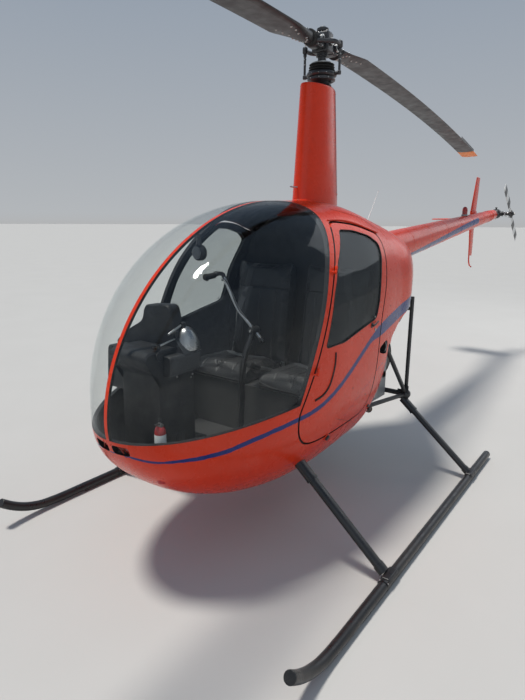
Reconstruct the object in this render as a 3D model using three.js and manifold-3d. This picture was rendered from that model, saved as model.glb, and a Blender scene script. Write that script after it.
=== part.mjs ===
// A light two-seat helicopter: bubble cabin, two doors, skids, open engine bay, two-blade rotors.
// Millimetres, +X to port, +Y aft, +Z up. Places are set out from the mast axis at ground level,
// and the whole aircraft is then moved so that the origin is under the middle of its length.
import * as THREE from "three";
import { mergeVertices } from "three/addons/utils/BufferGeometryUtils.js";
import Module from "manifold-3d";

const wasm = await Module();
wasm.setup();

// Driving dimensions

const mastToOrigin = 484.18;     // from the mast axis aft to the middle of the overall length
const seam = 0.6;                // width of a seam between fixed panels
const doorSeam = 10;             // width of the seam round a door
const clear = 0.35;              // gap between a piece and the piece it is cut to fit
const wall = 22;                 // cabin wall and door thickness
const glass = 5;                 // windshield thickness
const skin = 6;                  // cowl thickness
const stripHalf = 18;            // half width of the windshield's centre strip
const floorZ = 452;              // underside of the cabin floor
const floorThick = 8;
const seatTop = 745;             // top of the seat boxes
const gearboxTop = 1330;
const finX = -165;               // the fins stand starboard of the boom

const hull = {
  noseY: -1645,                  // foremost point of the cabin
  noseZ: 813,
  roofZ: 1752,                   // roof height at roofY
  roofY: -481,
  roofPower: 1.88,
  bellyZ: 283,                   // belly height at bellyY
  bellyY: -735,
  bellyPower: 2,
  halfWidth: 559,                // half of the cabin width at wideY
  wideY: -620,
  planPower: 1.97,
  upperPower: 2.7,               // squareness of the section above its widest level
  lowerPower: 2.6,
  aftY: 950,                     // aft end of the cowl
};

const roofAft = [[-481, 1752], [-200, 1757], [100, 1695], [400, 1615], [700, 1587], [950, 1572]];   // y, z
const widthAft = [[-620, 1], [-200, 0.994], [100, 0.953], [300, 0.93], [600, 0.69], [950, 0.27]];   // y, share
const widestLevel = [[-1645, 813], [-1000, 936], [-500, 989], [300, 1263], [950, 1430]];            // y, z
const bellyAft = [[-735, 283], [-300, 292], [-60, 330], [200, 700], [950, 1000]];                   // y, z

const rotor = { hubZ: 2630, radius: 3830, chord: 183, droop: 215, parked: 4 };          // parked in degrees
const tailRotor = { x: 175, y: 4370, z: 1762, radius: 533, chord: 102, parked: 58 };
const boom = { frontY: 950.35, aftY: 4200, frontZ: 1430, aftZ: 1748, frontR: 134, aftR: 58, skin: 3 };
const skid = { x: 940, z: 31, radius: 25, aftY: 885, bendY: -1290, toeY: -1667, toeZ: 151 };
const stabilizerZ = 1692;
const gearboxEnd = 82;               // outboard end of the tail gearbox
const frontStrut = { y: -830, footX: 934, footZ: 37, slope: -0.872 };
const frameCorner = { x: 466, y: 470, z: 496, crossRadius: 17 };
const rearStrut = { topX: 430, topZ: 478, footX: 938, footZ: 40 };
const firewall = { y: -84, thick: 12 };
const mast = { radius: 24, fairingBase: 1600, fairingTop: 2400 };
const doorHinges = [[-678, 1420], [-875, 969]];       // y, z of the two hinges on the front post
const hingeStandOff = 13;                             // hinge pins stand outside the skin

// Outlines seen from the side, as [y, z]

const sillLine = [[-1760, 741], [-1553, 757], [-1317, 786], [-1172, 804], [-972, 827]];
const postLine = [[-972, 827], [-942, 905], [-870, 1081], [-771, 1303], [-718, 1415], [-645, 1530],
  [-585, 1620], [-545, 1692], [-535, 1775]];
const doorFront = [[-850, 592], [-925, 625], [-965, 690], [-974, 770], [-952, 823], [-876, 978], [-765, 1240],
  [-700, 1372], [-612, 1512], [-545, 1610], [-515, 1642]];
const doorTop = [[-515, 1642], [-416, 1641], [-293, 1626], [-191, 1600], [-85, 1577]];
const doorAft = [[-85, 1577], [-92, 1480], [-150, 1300], [-205, 1150], [-225, 1000], [-228, 680], [-258, 612],
  [-320, 590]];
const windowOutline = [[-804, 1065], [-762, 1173], [-709, 1307], [-632, 1440], [-479, 1605], [-359, 1601],
  [-224, 1574], [-142, 1530], [-153, 1467], [-212, 1337], [-241, 1233], [-276, 1150], [-300, 1135],
  [-454, 1107], [-637, 1070]];
const skinAft = [[40, 1018], [-10, 985], [-45, 933], [-58, 845], [-64, 764], [-68, 690], [-68, 150]];
const cowlFoot = [[-200, 900], [-10, 985], [151, 1085], [470, 1180], [1000, 1300]];
const ductOutline = [[-208, 933], [-150, 916], [-118, 911], [-100, 922], [-93, 948], [-100, 974], [-118, 985],
  [-150, 979], [-208, 960]];
const lampOutline = [[12, 698], [20, 690], [96, 693], [104, 701], [104, 727], [96, 735], [20, 733],
  [12, 725]];                                         // seen from the front, as [x, z]
const tubTop = [[-972, 827], [-900, 840], [-228, 950], [60, 950]];

// Small geometry helpers

function vec(x, y, z) {
  return new THREE.Vector3(x, y, z);
}

// Bare positions with shared corners merged and flat triangles dropped, as a manifold solid.
function solidOf(geometry) {
  const bare = new THREE.BufferGeometry();
  bare.setAttribute("position", geometry.getAttribute("position"));
  if (geometry.index) bare.setIndex(geometry.index);
  const merged = mergeVertices(bare, 1e-3);
  const corners = merged.index.array;
  const kept = [];
  for (let i = 0; i < corners.length; i += 3) {
    const [a, b, c] = [corners[i], corners[i + 1], corners[i + 2]];
    if (a !== b && b !== c && c !== a) kept.push(a, b, c);
  }
  return new wasm.Manifold(new wasm.Mesh({
    numProp: 3,
    vertProperties: new Float32Array(merged.getAttribute("position").array),
    triVerts: new Uint32Array(kept),
  }));
}

function geometryOf(solid) {
  const mesh = solid.getMesh();
  const geometry = new THREE.BufferGeometry();
  geometry.setAttribute("position", new THREE.BufferAttribute(mesh.vertProperties, 3));
  geometry.setIndex(new THREE.BufferAttribute(mesh.triVerts, 1));
  return geometry.toNonIndexed();
}

function union(solids) {
  return solids.reduce((all, one) => all.add(one));
}

// Closed skin through rings of equal length; each end closes on a tip, or on the ring's own middle.
function loft(rings, startTip, endTip) {
  const sides = rings[0].length;
  const points = rings.flat();
  const index = [];
  for (let r = 0; r + 1 < rings.length; r++) {
    for (let s = 0; s < sides; s++) {
      const a = r * sides + s;
      const b = r * sides + (s + 1) % sides;
      index.push(a, b, b + sides, a, b + sides, a + sides);
    }
  }
  const last = (rings.length - 1) * sides;
  points.push(startTip ?? middleOf(rings[0]));
  points.push(endTip ?? middleOf(rings[rings.length - 1]));
  for (let s = 0; s < sides; s++) {
    const next = (s + 1) % sides;
    index.push(points.length - 2, next, s);
    index.push(points.length - 1, last + s, last + next);
  }
  const geometry = new THREE.BufferGeometry().setFromPoints(points);
  geometry.setIndex(index);
  return outward(geometry);
}

function middleOf(ring) {
  return ring.reduce((sum, p) => sum.add(p), vec(0, 0, 0)).divideScalar(ring.length);
}

// Turns every triangle over when the enclosed volume comes out negative.
function outward(geometry) {
  const place = geometry.getAttribute("position");
  const index = geometry.index.array;
  const [a, b, c] = [vec(0, 0, 0), vec(0, 0, 0), vec(0, 0, 0)];
  let volume = 0;
  for (let i = 0; i < index.length; i += 3) {
    a.fromBufferAttribute(place, index[i]);
    b.fromBufferAttribute(place, index[i + 1]);
    c.fromBufferAttribute(place, index[i + 2]);
    volume += a.dot(b.cross(c));
  }
  if (volume < 0) {
    for (let i = 0; i < index.length; i += 3) [index[i + 1], index[i + 2]] = [index[i + 2], index[i + 1]];
  }
  return geometry;
}

function box(from, to) {
  const size = vec(to[0] - from[0], to[1] - from[1], to[2] - from[2]);
  const geometry = new THREE.BoxGeometry(size.x, size.y, size.z);
  geometry.translate(from[0] + size.x / 2, from[1] + size.y / 2, from[2] + size.z / 2);
  return solidOf(geometry);
}

function rod(from, to, radius, sides = 12, endRadius = radius) {
  const start = vec(...from);
  const along = vec(...to).sub(start);
  const geometry = new THREE.CylinderGeometry(endRadius, radius, along.length(), sides);
  geometry.applyQuaternion(new THREE.Quaternion().setFromUnitVectors(vec(0, 1, 0), along.clone().normalize()));
  const centre = start.addScaledVector(along, 0.5);
  geometry.translate(centre.x, centre.y, centre.z);
  return solidOf(geometry);
}

function ball(at, radius) {
  const geometry = new THREE.SphereGeometry(radius, 8, 6);
  geometry.translate(...at);
  return solidOf(geometry);
}

// Round tube through points, as a smooth curve.
function tube(points, radius, steps, sides = 10) {
  const path = new THREE.CatmullRomCurve3(points.map((p) => vec(...p)), false, "centripetal");
  const ring = new THREE.Shape();
  for (let s = 0; s < sides; s++) {
    const turn = (2 * Math.PI * s) / sides;
    ring[s ? "lineTo" : "moveTo"](radius * Math.cos(turn), radius * Math.sin(turn));
  }
  return solidOf(new THREE.ExtrudeGeometry(ring, { steps, bevelEnabled: false, extrudePath: path }));
}

// Solid of revolution about a vertical axis; profile as [radius, z] from the axis back to the axis.
function turned(profile, sides = 24) {
  const geometry = new THREE.LatheGeometry(profile.map(([r, z]) => new THREE.Vector2(r, z)), sides);
  geometry.rotateX(Math.PI / 2);
  return solidOf(outward(mergeVertices(stripped(geometry), 1e-3)));
}

function stripped(geometry) {
  geometry.deleteAttribute("normal");
  geometry.deleteAttribute("uv");
  return geometry;
}

// Prism across the aircraft from an outline seen from the side.
function prism(outline, fromX, toX) {
  const shape = new THREE.Shape(outline.map(([y, z]) => new THREE.Vector2(y, z)));
  const geometry = new THREE.ExtrudeGeometry(shape, { depth: toX - fromX, bevelEnabled: false });
  const turn = new THREE.Matrix4().set(0, 0, 1, fromX, 1, 0, 0, 0, 0, 1, 0, 0, 0, 0, 0, 1);
  geometry.applyMatrix4(turn);
  return solidOf(geometry);
}

// Prism along the aircraft from an outline seen from the front, as [x, z].
function beam(outline, fromY, toY) {
  const shape = new THREE.Shape(outline.map(([x, z]) => new THREE.Vector2(x, z)));
  const geometry = new THREE.ExtrudeGeometry(shape, { depth: toY - fromY, bevelEnabled: false });
  const turn = new THREE.Matrix4().set(1, 0, 0, 0, 0, 0, -1, toY, 0, 1, 0, 0, 0, 0, 0, 1);
  geometry.applyMatrix4(turn);
  return solidOf(geometry);
}

// Points moved sideways from a line by a distance, to the left of its run.
function offsetLine(line, distance) {
  return line.map(([y, z], i) => {
    const before = line[Math.max(i - 1, 0)];
    const after = line[Math.min(i + 1, line.length - 1)];
    const run = new THREE.Vector2(after[0] - before[0], after[1] - before[1]).normalize();
    return [y - run.y * distance, z + run.x * distance];
  });
}

// A thin cut along a line, as wide as the seam.
function seamCut(line, width, fromX = -700, toX = 700) {
  return prism([...offsetLine(line, width / 2), ...offsetLine(line, -width / 2).reverse()], fromX, toX);
}

function mirrored(solid) {
  const geometry = geometryOf(solid);
  geometry.scale(-1, 1, 1);
  const place = geometry.getAttribute("position").array;
  for (let i = 0; i < place.length; i += 9) {
    for (let k = 0; k < 3; k++) [place[i + 3 + k], place[i + 6 + k]] = [place[i + 6 + k], place[i + 3 + k]];
  }
  return solidOf(geometry);
}

// Smooth curve through [at, value] rows, level beyond its ends.
function smooth(rows, at) {
  if (at <= rows[0][0]) return rows[0][1];
  if (at >= rows[rows.length - 1][0]) return rows[rows.length - 1][1];
  const k = rows.findIndex((row) => row[0] > at) - 1;
  const slope = (i) => {
    const before = rows[Math.max(i - 1, 0)];
    const after = rows[Math.min(i + 1, rows.length - 1)];
    return i === 0 ? 0 : (after[1] - before[1]) / (after[0] - before[0]);
  };
  const step = rows[k + 1][0] - rows[k][0];
  const t = (at - rows[k][0]) / step;
  return rows[k][1] * (1 + 2 * t) * (1 - t) ** 2 + step * slope(k) * t * (1 - t) ** 2
    + rows[k + 1][1] * t * t * (3 - 2 * t) + step * slope(k + 1) * t * t * (t - 1);
}

// The cabin and cowl body

function arc(share, power) {
  return (1 - Math.min(Math.max(share, 0), 1) ** power) ** (1 / power);
}

// Half width, roof, belly and widest level of the body at a station, moved in by an inset.
function hullSection(y, inset) {
  const nose = hull.noseY + inset;
  const swell = (from, power) => arc((from - y) / (from - nose), power);
  const roof = y < hull.roofY
    ? hull.noseZ + (hull.roofZ - inset - hull.noseZ) * swell(hull.roofY, hull.roofPower)
    : smooth(roofAft, y) - inset;
  const belly = y < hull.bellyY
    ? hull.noseZ - (hull.noseZ - hull.bellyZ - inset) * swell(hull.bellyY, hull.bellyPower)
    : smooth(bellyAft, y) + inset;
  const width = y < hull.wideY
    ? (hull.halfWidth - inset) * swell(hull.wideY, hull.planPower)
    : hull.halfWidth * smooth(widthAft, y) - inset;
  return { width, roof, belly, level: Math.min(Math.max(smooth(widestLevel, y), belly + 1), roof - 1) };
}

function hullRing(y, inset, sides) {
  const { width, roof, belly, level } = hullSection(y, inset);
  const ring = [];
  for (let s = 0; s < sides; s++) {
    const turn = (2 * Math.PI * s) / sides;
    const power = Math.sin(turn) < 0 ? hull.lowerPower : hull.upperPower;
    const x = width * Math.sign(Math.cos(turn)) * Math.abs(Math.cos(turn)) ** (2 / power);
    const rise = Math.sign(Math.sin(turn)) * Math.abs(Math.sin(turn)) ** (2 / power);
    ring.push(vec(x, y, level + rise * (rise < 0 ? level - belly : roof - level)));
  }
  return ring;
}

const hullSides = 28;
const hullSolids = new Map();

function hullSolid(inset) {
  if (!hullSolids.has(inset)) {
    const noseSteps = 13;
    const aftSteps = 8;
    const nose = hull.noseY + inset;
    const bend = hull.roofY;
    const rings = [];
    for (let k = 1; k <= noseSteps; k++) {
      rings.push(hullRing(nose + (bend - nose) * (k / noseSteps) ** 1.8, inset, hullSides));
    }
    for (let k = 1; k <= aftSteps; k++) {
      rings.push(hullRing(bend + ((hull.aftY - bend) * k) / aftSteps, inset, hullSides));
    }
    hullSolids.set(inset, solidOf(loft(rings, vec(0, nose, hull.noseZ))));
  }
  return hullSolids.get(inset);
}

function shell(outer, inner) {
  return hullSolid(outer).subtract(hullSolid(inner));
}

// Half width of the body at a station and height.
function hullX(y, z, inset = 0) {
  const { width, roof, belly, level } = hullSection(y, inset);
  const upper = z > level;
  const power = upper ? hull.upperPower : hull.lowerPower;
  return width * arc(Math.abs(z - level) / (upper ? roof - level : level - belly), power);
}

const doorOutline = [...doorFront, ...doorTop.slice(1), ...doorAft.slice(1)];
const doorLoop = [...doorOutline, doorOutline[0]];
const doorCut = seamCut(doorLoop, doorSeam);
const doorPrism = prism(doorOutline, 150, 700);
const doorPrisms = doorPrism.add(mirrored(doorPrism));
const windowPrism = prism(windowOutline, 150, 700);
const aboveCowlFoot = prism([...cowlFoot, [1000, 2000], [-200, 2000]], -700, 700);
const ductHole = prism(ductOutline, 400, 700);
const ductHoles = ductHole.add(mirrored(ductHole));
const lampHole = beam(lampOutline, -1700, -1550);
const lampHoles = lampHole.add(mirrored(lampHole));
const underTub = [[-1760, 150], ...sillLine, ...tubTop.slice(1), ...skinAft.slice(3)];

function tub() {
  return shell(0, wall).intersect(prism(underTub, -700, 700))
    .subtract(doorPrisms).subtract(doorCut).subtract(seamCut([...sillLine, ...tubTop.slice(1)], seam))
    .subtract(ductHoles).subtract(lampHoles);
}

function roofFrame() {
  const behind = [[-535, 1900], [30, 1900], [30, 1018], [-10, 985], [-24, 950]];
  const outline = [...postLine, ...behind, ...tubTop.slice(1, 3).reverse()];
  const hinges = union(doorHinges.map((hinge) => hingeHalf(hinge, 1)));
  return shell(0, wall).intersect(prism(outline, -700, 700))
    .subtract(doorPrisms).subtract(doorCut)
    .subtract(seamCut(postLine, seam)).subtract(seamCut([...sillLine, ...tubTop.slice(1)], seam))
    .subtract(mastOpening()).subtract(ductHoles).add(hinges).add(mirrored(hinges));
}

function glazedRegion(outerInset, innerInset) {
  const outline = [...sillLine, ...postLine.slice(1), [-535, 1900], [-1760, 1900]];
  return shell(outerInset, innerInset).intersect(prism(outline, -700, 700))
    .subtract(seamCut(sillLine, seam)).subtract(seamCut(postLine, seam));
}

function windshieldLeft() {
  return glazedRegion(0, glass).intersect(box([stripHalf + seam, -1800, 0], [700, 0, 2000]));
}

function windshieldStrip() {
  return glazedRegion(0, 14).intersect(box([-stripHalf, -1800, 0], [stripHalf, 0, 2000]));
}

// One half of a hinge: a knuckle on the pin line and a leaf that reaches the panel; side 1 is the post's.
function hingeHalf([y, z], side) {
  const pin = hingeLine();
  const at = pinPoint(y, z);
  const knuckle = rod(
    at.clone().addScaledVector(pin, side > 0 ? -18 : 0.5).toArray(),
    at.clone().addScaledVector(pin, side > 0 ? -0.5 : 18).toArray(), 7, 10);
  const middle = at.clone().addScaledVector(pin, side > 0 ? -9 : 9);
  const reach = side > 0 ? -22 : 22;
  const inner = vec(hullX(y + reach, middle.z) - 10, middle.y + reach, middle.z);
  return knuckle.add(rod(middle.toArray(), inner.toArray(), 4, 8));
}

function pinPoint(y, z) {
  return vec(hullX(y, z) + hingeStandOff, y, z);
}

// Unit direction of the pin line, upwards.
function hingeLine() {
  return pinPoint(...doorHinges[0]).sub(pinPoint(...doorHinges[1])).normalize();
}

function doorLeft() {
  const hinges = union(doorHinges.map((hinge) => hingeHalf(hinge, -1)));
  const handle = rod([hullX(-318, 1112) - 4, -335, 1108], [hullX(-318, 1112) + 12, -335, 1108], 6, 10)
    .add(rod([hullX(-318, 1112) + 9, -335, 1108], [hullX(-290, 1118) + 9, -275, 1122], 5, 8));
  return shell(0, wall).intersect(doorPrism).subtract(doorCut).subtract(windowPrism).add(hinges).add(handle);
}

function doorWindowLeft() {
  const rim = [...windowOutline, windowOutline[0]];
  return shell(6, 11).intersect(windowPrism).subtract(seamCut(rim, seam));
}

function aftCowl() {
  const endFrame = hullSolid(skin / 2).intersect(aboveCowlFoot)
    .intersect(box([-700, hull.aftY - 8, 0], [700, 1000, 2000]))
    .subtract(rod([0, 900, boom.frontZ], [0, 1000, boom.frontZ], boom.frontR - 14, 20));
  return shell(0, skin).intersect(aboveCowlFoot)
    .intersect(box([-700, 30 + seam, 0], [700, 1000, 2000])).subtract(mastOpening()).add(endFrame);
}

function mastOpening() {
  return rod([0, 0, 1500], [0, 0, 1900], 60, 24);
}

// Bulkhead behind the seats.
function bulkhead() {
  const slice = box([-700, firewall.y, 0], [700, firewall.y + firewall.thick, 2000]);
  return hullSolid(wall + clear).intersect(slice);
}

// Sloping plate over the engine bay, which closes the cowl from below.
const deckLine = [[firewall.y + firewall.thick + clear, 945], ...cowlFoot.slice(1)];

function deckPlate() {
  const sheet = prism([...offsetLine(deckLine, -4), ...deckLine.slice().reverse()], -700, 700);
  return hullSolid(wall + clear).intersect(sheet).intersect(box([-700, -200, 0], [700, 940, 2000]));
}

// Rows: height, chord, thickness.
const fairingRows = [
  [mast.fairingBase, 460, 190],
  [1800, 455, 186],
  [2100, 395, 168],
  [mast.fairingTop, 335, 150],
];

function fairingBody(inset, top) {
  const rows = fairingRows.map(([z, chord, thick]) => [Math.min(z, top), chord, thick]);
  return solidOf(loft(rows.map(([z, chord, thick]) => teardrop(z, chord, thick, inset))));
}

function fairing() {
  return fairingBody(0, mast.fairingTop)
    .subtract(fairingBody(5, mast.fairingTop - 8)).subtract(rod([0, 0, 1500], [0, 0, 1640], 40, 16))
    .subtract(hullSolid(-clear)).subtract(rod([0, 0, 2300], [0, 0, 2500], mast.radius + 5, 24));
}

// Streamlined section round the mast axis: blunt in front, fine behind.
function teardrop(z, chord, thick, inset) {
  const ring = [];
  const sides = 24;
  for (let s = 0; s < sides; s++) {
    const turn = (2 * Math.PI * s) / sides;
    const along = -Math.cos(turn);
    const taper = 1 - 0.38 * Math.max(along, 0) ** 1.5;
    const across = (thick / 2 - inset) * Math.sin(turn) * taper;
    ring.push(vec(across, (chord / 2 - inset) * along + chord * 0.06 - 40, z));
  }
  return ring;
}

function pitot() {
  return rod([0, -200, 1835], [0, -305, 1835], 5, 10).subtract(fairingBody(-clear, mast.fairingTop));
}

// Tail boom and its surfaces

function boomAt(y) {
  const share = (y - boom.frontY) / (boom.aftY - boom.frontY);
  return {
    z: boom.frontZ + (boom.aftZ - boom.frontZ) * share,
    radius: boom.frontR + (boom.aftR - boom.frontR) * share,
  };
}

function boomRing(y, inset, sides = 24) {
  const { z, radius } = boomAt(y);
  const ring = [];
  for (let s = 0; s < sides; s++) {
    const turn = (2 * Math.PI * s) / sides;
    ring.push(vec((radius - inset) * Math.cos(turn), y, z + (radius - inset) * Math.sin(turn)));
  }
  return ring;
}

function tailBoom() {
  const outer = solidOf(loft([boomRing(boom.frontY, 0), boomRing(boom.aftY, 0)]));
  const inner = solidOf(loft([boomRing(boom.frontY - 5, boom.skin), boomRing(boom.aftY - 20, boom.skin)]));
  return outer.subtract(inner);
}

// Wing-like section points, chord along the second axis: [thickness, chord] pairs from nose to nose.
function foil(chord, thick, points = 7) {
  const side = [];
  for (let k = 0; k <= points; k++) {
    const at = (1 - Math.cos((Math.PI * k) / points)) / 2;
    const bow = 0.2969 * Math.sqrt(at) - 0.126 * at - 0.3516 * at ** 2 + 0.2843 * at ** 3 - 0.1015 * at ** 4;
    side.push([Math.max(5 * thick * bow, 0.6), at * chord]);
  }
  return [...side, ...side.slice(1).reverse().map(([t, c]) => [-t, c])];
}

// Rows: height, leading edge, chord, thickness.
function fin(rows) {
  const section = ([z, lead, chord, thick]) => foil(chord, thick).map(([t, c]) => vec(finX + t, lead + c, z));
  return solidOf(loft(rows.map(section)));
}

function upperFin() {
  return fin([[1792, 3850, 224, 24], [2030, 3925, 176, 18], [2184, 3972, 142, 12]]);
}

function lowerFin() {
  return fin([[1640, 3850, 200, 22], [1400, 3905, 160, 17], [1252, 3925, 138, 12]]);
}

function finMount() {
  return box([finX - 14, 3866, 1640 + clear], [finX + 14, 4070, 1792 - clear])
    .add(box([finX + 13, 3890, 1690], [-20, 4050, 1765]))
    .subtract(solidOf(loft([boomRing(3700, -clear), boomRing(4300, -clear)])));
}

function stabilizer() {
  const rows = [[finX - 14 - clear, 3850, 280, 26], [-400, 3858, 262, 22], [-640, 3868, 240, 16]];
  const point = (x, lead) => ([t, c]) => vec(x, lead + c, stabilizerZ + t);
  const section = ([x, lead, chord, thick]) => foil(chord, thick).map(point(x, lead));
  return solidOf(loft(rows.map(section)));
}

function tailSkid() {
  const bow = [[3952, 1300], [3953, 1235], [3968, 1180], [4010, 1135], [4075, 1112]];
  return tube(bow.map(([y, z]) => [finX, y, z]), 8, 18, 8)
    .subtract(box([finX - 20, 3800, 1252 - clear], [finX + 20, 4200, 1400]));
}

function tailGearbox() {
  const { y, z } = tailRotor;
  return rod([0, boom.aftY + clear, boom.aftZ], [0, y - 80, boom.aftZ], 52, 16, 44)
    .add(rod([-44, y, z], [48, y, z], 55, 20))
    .add(rod([0, y - 100, z - 8], [0, y, z], 40, 16))
    .add(rod([40, y, z], [gearboxEnd, y, z], 32, 16));
}

function beaconLamp() {
  const y = 3050;
  const { z, radius } = boomAt(y);
  const lamp = turned([[0, 0], [34, 0], [34, 14], [27, 18], [27, 70], [18, 90], [0, 97]], 16);
  return moved(lamp, 0, y, z + radius - 3)
    .subtract(solidOf(loft([boomRing(2900, -clear), boomRing(3200, -clear)])));
}

function moved(solid, x, y, z) {
  const geometry = geometryOf(solid);
  geometry.translate(x, y, z);
  return solidOf(geometry);
}

// Rotors, each in its own frame with its hub at the centre

function bladeZ(reach) {
  return -rotor.droop * (reach / rotor.radius) ** 2;
}

// Rows: reach from the hub, chord, thickness. The blade lies along +Y, and leads toward -X.
function mainBlade() {
  const rows = [[168, 104, 60], [230, 118, 54], [300, 138, 42], [410, rotor.chord, 28]];
  for (let k = 0; k <= 7; k++) rows.push([560 + ((rotor.radius - 560) * k) / 7, rotor.chord, 22]);
  return solidOf(loft(rows.map(([reach, chord, thick]) =>
    foil(chord, thick, 8).map(([t, c]) => vec(c - chord * 0.3, reach, bladeZ(reach) + t - c * 0.045)))));
}

function rotorHead() {
  const grip = (side) => union([
    box([-36, side * 96 - 34, -38], [36, side * 96 + 34, 40]),
    rod([-62, side * 98, 2], [62, side * 98, 2], 22, 12),
    rod([0, side * 110, 0], [0, side * 167, 0], 36, 14, 42),
    rod([-side * 26, side * 140, -12], [-side * 112, side * 60, -12], 12, 8),
    rod([-side * 112, side * 60, -12], [-side * 112, 0, -12], 12, 8),
  ]);
  return union([
    box([-34, -80, -30], [34, 80, 44]),
    box([-52, -38, -44], [52, 38, 62]),
    grip(1),
    grip(-1),
    rod([-70, 0, 10], [70, 0, 10], 20, 12),
    rod([0, 0, -62], [0, 0, 84], 34, 16),
    rod([0, 0, 80], [0, 0, 96], 19, 8),
    rod([0, 0, gearboxTop + clear - rotor.hubZ], [0, 0, -50], mast.radius, 18),
  ]);
}

function mainGearbox() {
  const above = prism([...offsetLine(deckLine, clear), [1000, 2000], [-200, 2000], [-200, 946]], -700, 700);
  return box([-95, -62, 900], [95, 150, 1190])
    .add(rod([0, 0, 1180], [0, 0, gearboxTop], 60, 16)).intersect(above);
}

function swashplate() {
  const bore = mast.radius + 0.6;
  const ring = turned([[bore, -172], [80, -172], [88, -160], [84, -146], [66, -142], [78, -132], [66, -122],
    [76, -112], [62, -104], [52, -92], [bore, -90], [bore, -172]], 24);
  const link = (side) => union([
    rod([side * 60, 0, -158], [side * 112, 0, -158], 10, 8),
    rod([side * 112, 0, -168], [side * 112, 0, -25], 7, 8),
  ]);
  return union([ring, link(1), link(-1)]);
}

function lowerSwashplate() {
  const bore = mast.radius + 0.6;
  const profile = [[bore, -229.6], [52, -229.6], [60, -218], [52, -208], [62, -198], [80, -190], [80, -175.5],
    [bore, -175.5], [bore, -229.6]];
  return moved(turned(profile, 24), 0, 0, rotor.hubZ);
}

function tailBlade() {
  const { chord: full, radius } = tailRotor;
  const rows = [[52, 40, 20], [100, 52, 18], [150, full, 12], [radius, full, 10]];
  const section = ([reach, chord, thick]) => foil(chord, thick).map(([t, c]) => vec(t, c - chord * 0.3, reach));
  return solidOf(loft(rows.map(section)));
}

function tailHub() {
  return union([
    rod([gearboxEnd - tailRotor.x + clear, 0, 0], [40, 0, 0], 17, 12),
    rod([-26, 0, 0], [26, 0, 0], 30, 16),
    box([-16, -26, -51], [16, 26, 51]),
  ]);
}

// Landing gear

function skidLeft() {
  const straight = rod([skid.x, skid.aftY, skid.z], [skid.x, skid.bendY, skid.z], skid.radius, 12);
  const bend = [[skid.x, skid.bendY + 40, skid.z], [skid.x, skid.bendY, skid.z], [skid.x, -1440, skid.z + 10],
    [skid.x, -1540, skid.z + 40], [skid.x, -1610, skid.z + 78], [skid.x, skid.toeY, skid.toeZ]];
  const saddle = (y) => box([skid.x - 22, y - 52, skid.z], [skid.x + 22, y + 52, skid.z + 31]);
  const shoe = box([skid.x - 17, -1150, 0], [skid.x + 17, 800, skid.z]);
  return union([tube(bend, skid.radius, 12, 12), straight, saddle(frontStrut.y), saddle(frameCorner.y), shoe]);
}

// Streamlined leg between two points in a plane across the aircraft.
function leg(y, from, to, width, thick) {
  const along = new THREE.Vector2(to[0] - from[0], to[1] - from[1]).normalize();
  const ring = ([x, z]) => {
    const points = [];
    for (let s = 0; s < 16; s++) {
      const turn = (Math.PI * s) / 8;
      const side = (thick / 2) * Math.sin(turn);
      points.push(vec(x - along.y * side, y + (width / 2) * Math.cos(turn), z + along.x * side));
    }
    return points;
  };
  return solidOf(loft([ring(from), ring(to)]));
}

function skidCut() {
  return rod([skid.x, -1200, skid.z], [skid.x, 860, skid.z], skid.radius + 12, 16)
    .add(box([skid.x - 25, -1000, 0], [skid.x + 25, 860, skid.z + 31 + clear]));
}

function frontLeg() {
  const top = [frontStrut.footX - 640, frontStrut.footZ - 640 * frontStrut.slope];
  const cuffTop = [frontStrut.footX - 520, frontStrut.footZ - 520 * frontStrut.slope];
  const cuffFoot = [frontStrut.footX - 420, frontStrut.footZ - 420 * frontStrut.slope];
  return leg(frontStrut.y, top, [frontStrut.footX, frontStrut.footZ], 62, 34)
    .add(leg(frontStrut.y, cuffTop, cuffFoot, 74, 46))
    .subtract(hullSolid(-clear)).subtract(skidCut());
}

function rearLeg() {
  const { x, y, z, crossRadius } = frameCorner;
  const { topX, topZ, footX, footZ } = rearStrut;
  const at = (share) => [topX + (footX - topX) * share, topZ + (footZ - topZ) * share];
  return leg(y, at(0), at(1.05), 62, 34).add(leg(y, at(0), at(0.2), 74, 46)).subtract(skidCut())
    .subtract(rod([-x, y, z], [x, y, z], crossRadius + clear, 14)).subtract(ball([x, y, z], 34 + clear));
}

// Engine bay

function bayFrame() {
  const { x, y, z, crossRadius } = frameCorner;
  const side = (sign) => union([
    rod([sign * x, y, z], [sign * x, y - 17, 1300], 13),
    rod([sign * x, y, z], [sign * 446, -40, 1046], 14),
    rod([sign * x, y, z], [sign * 356, -90, 512], 14),
    rod([sign * 374, -50, 512], [sign * 378, -50, 1000], 12),
    ball([sign * x, y, z], 34),
  ]);
  const ahead = box([-700, -400, 0], [700, firewall.y + firewall.thick + clear, 2000]);
  const deckFoot = [...offsetLine(deckLine, -4 - clear), [1000, 2000], [-200, 2000], [-200, 940]];
  const besideSkin = shell(-1, wall + 2).intersect(box([-700, -400, 0], [700, -56, 900]));
  const lowerCross = rod([-x, y, z], [x, y, z], crossRadius, 14);
  const upperCross = rod([-x, y - 12, 1090], [x, y - 12, 1090], 12);
  return union([side(1), side(-1), lowerCross, upperCross])
    .subtract(ahead).subtract(prism(deckFoot, -700, 700)).subtract(besideSkin);
}

// Flat four-cylinder engine, crankshaft along the aircraft, with its belt drive behind it.
const engineBay = {
  crankZ: 700,
  frontY: 40,
  aftY: 395,
  cylinders: { left: [132, 300], right: [104, 272] },     // y of each bank's cylinders
  barrel: 63,
  headFrom: 212,
  headTo: 292,
  headHalf: 62,
  sheave: { y: 408, width: 76, lowRadius: 84, highRadius: 78, highZ: 985 },
};

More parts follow.
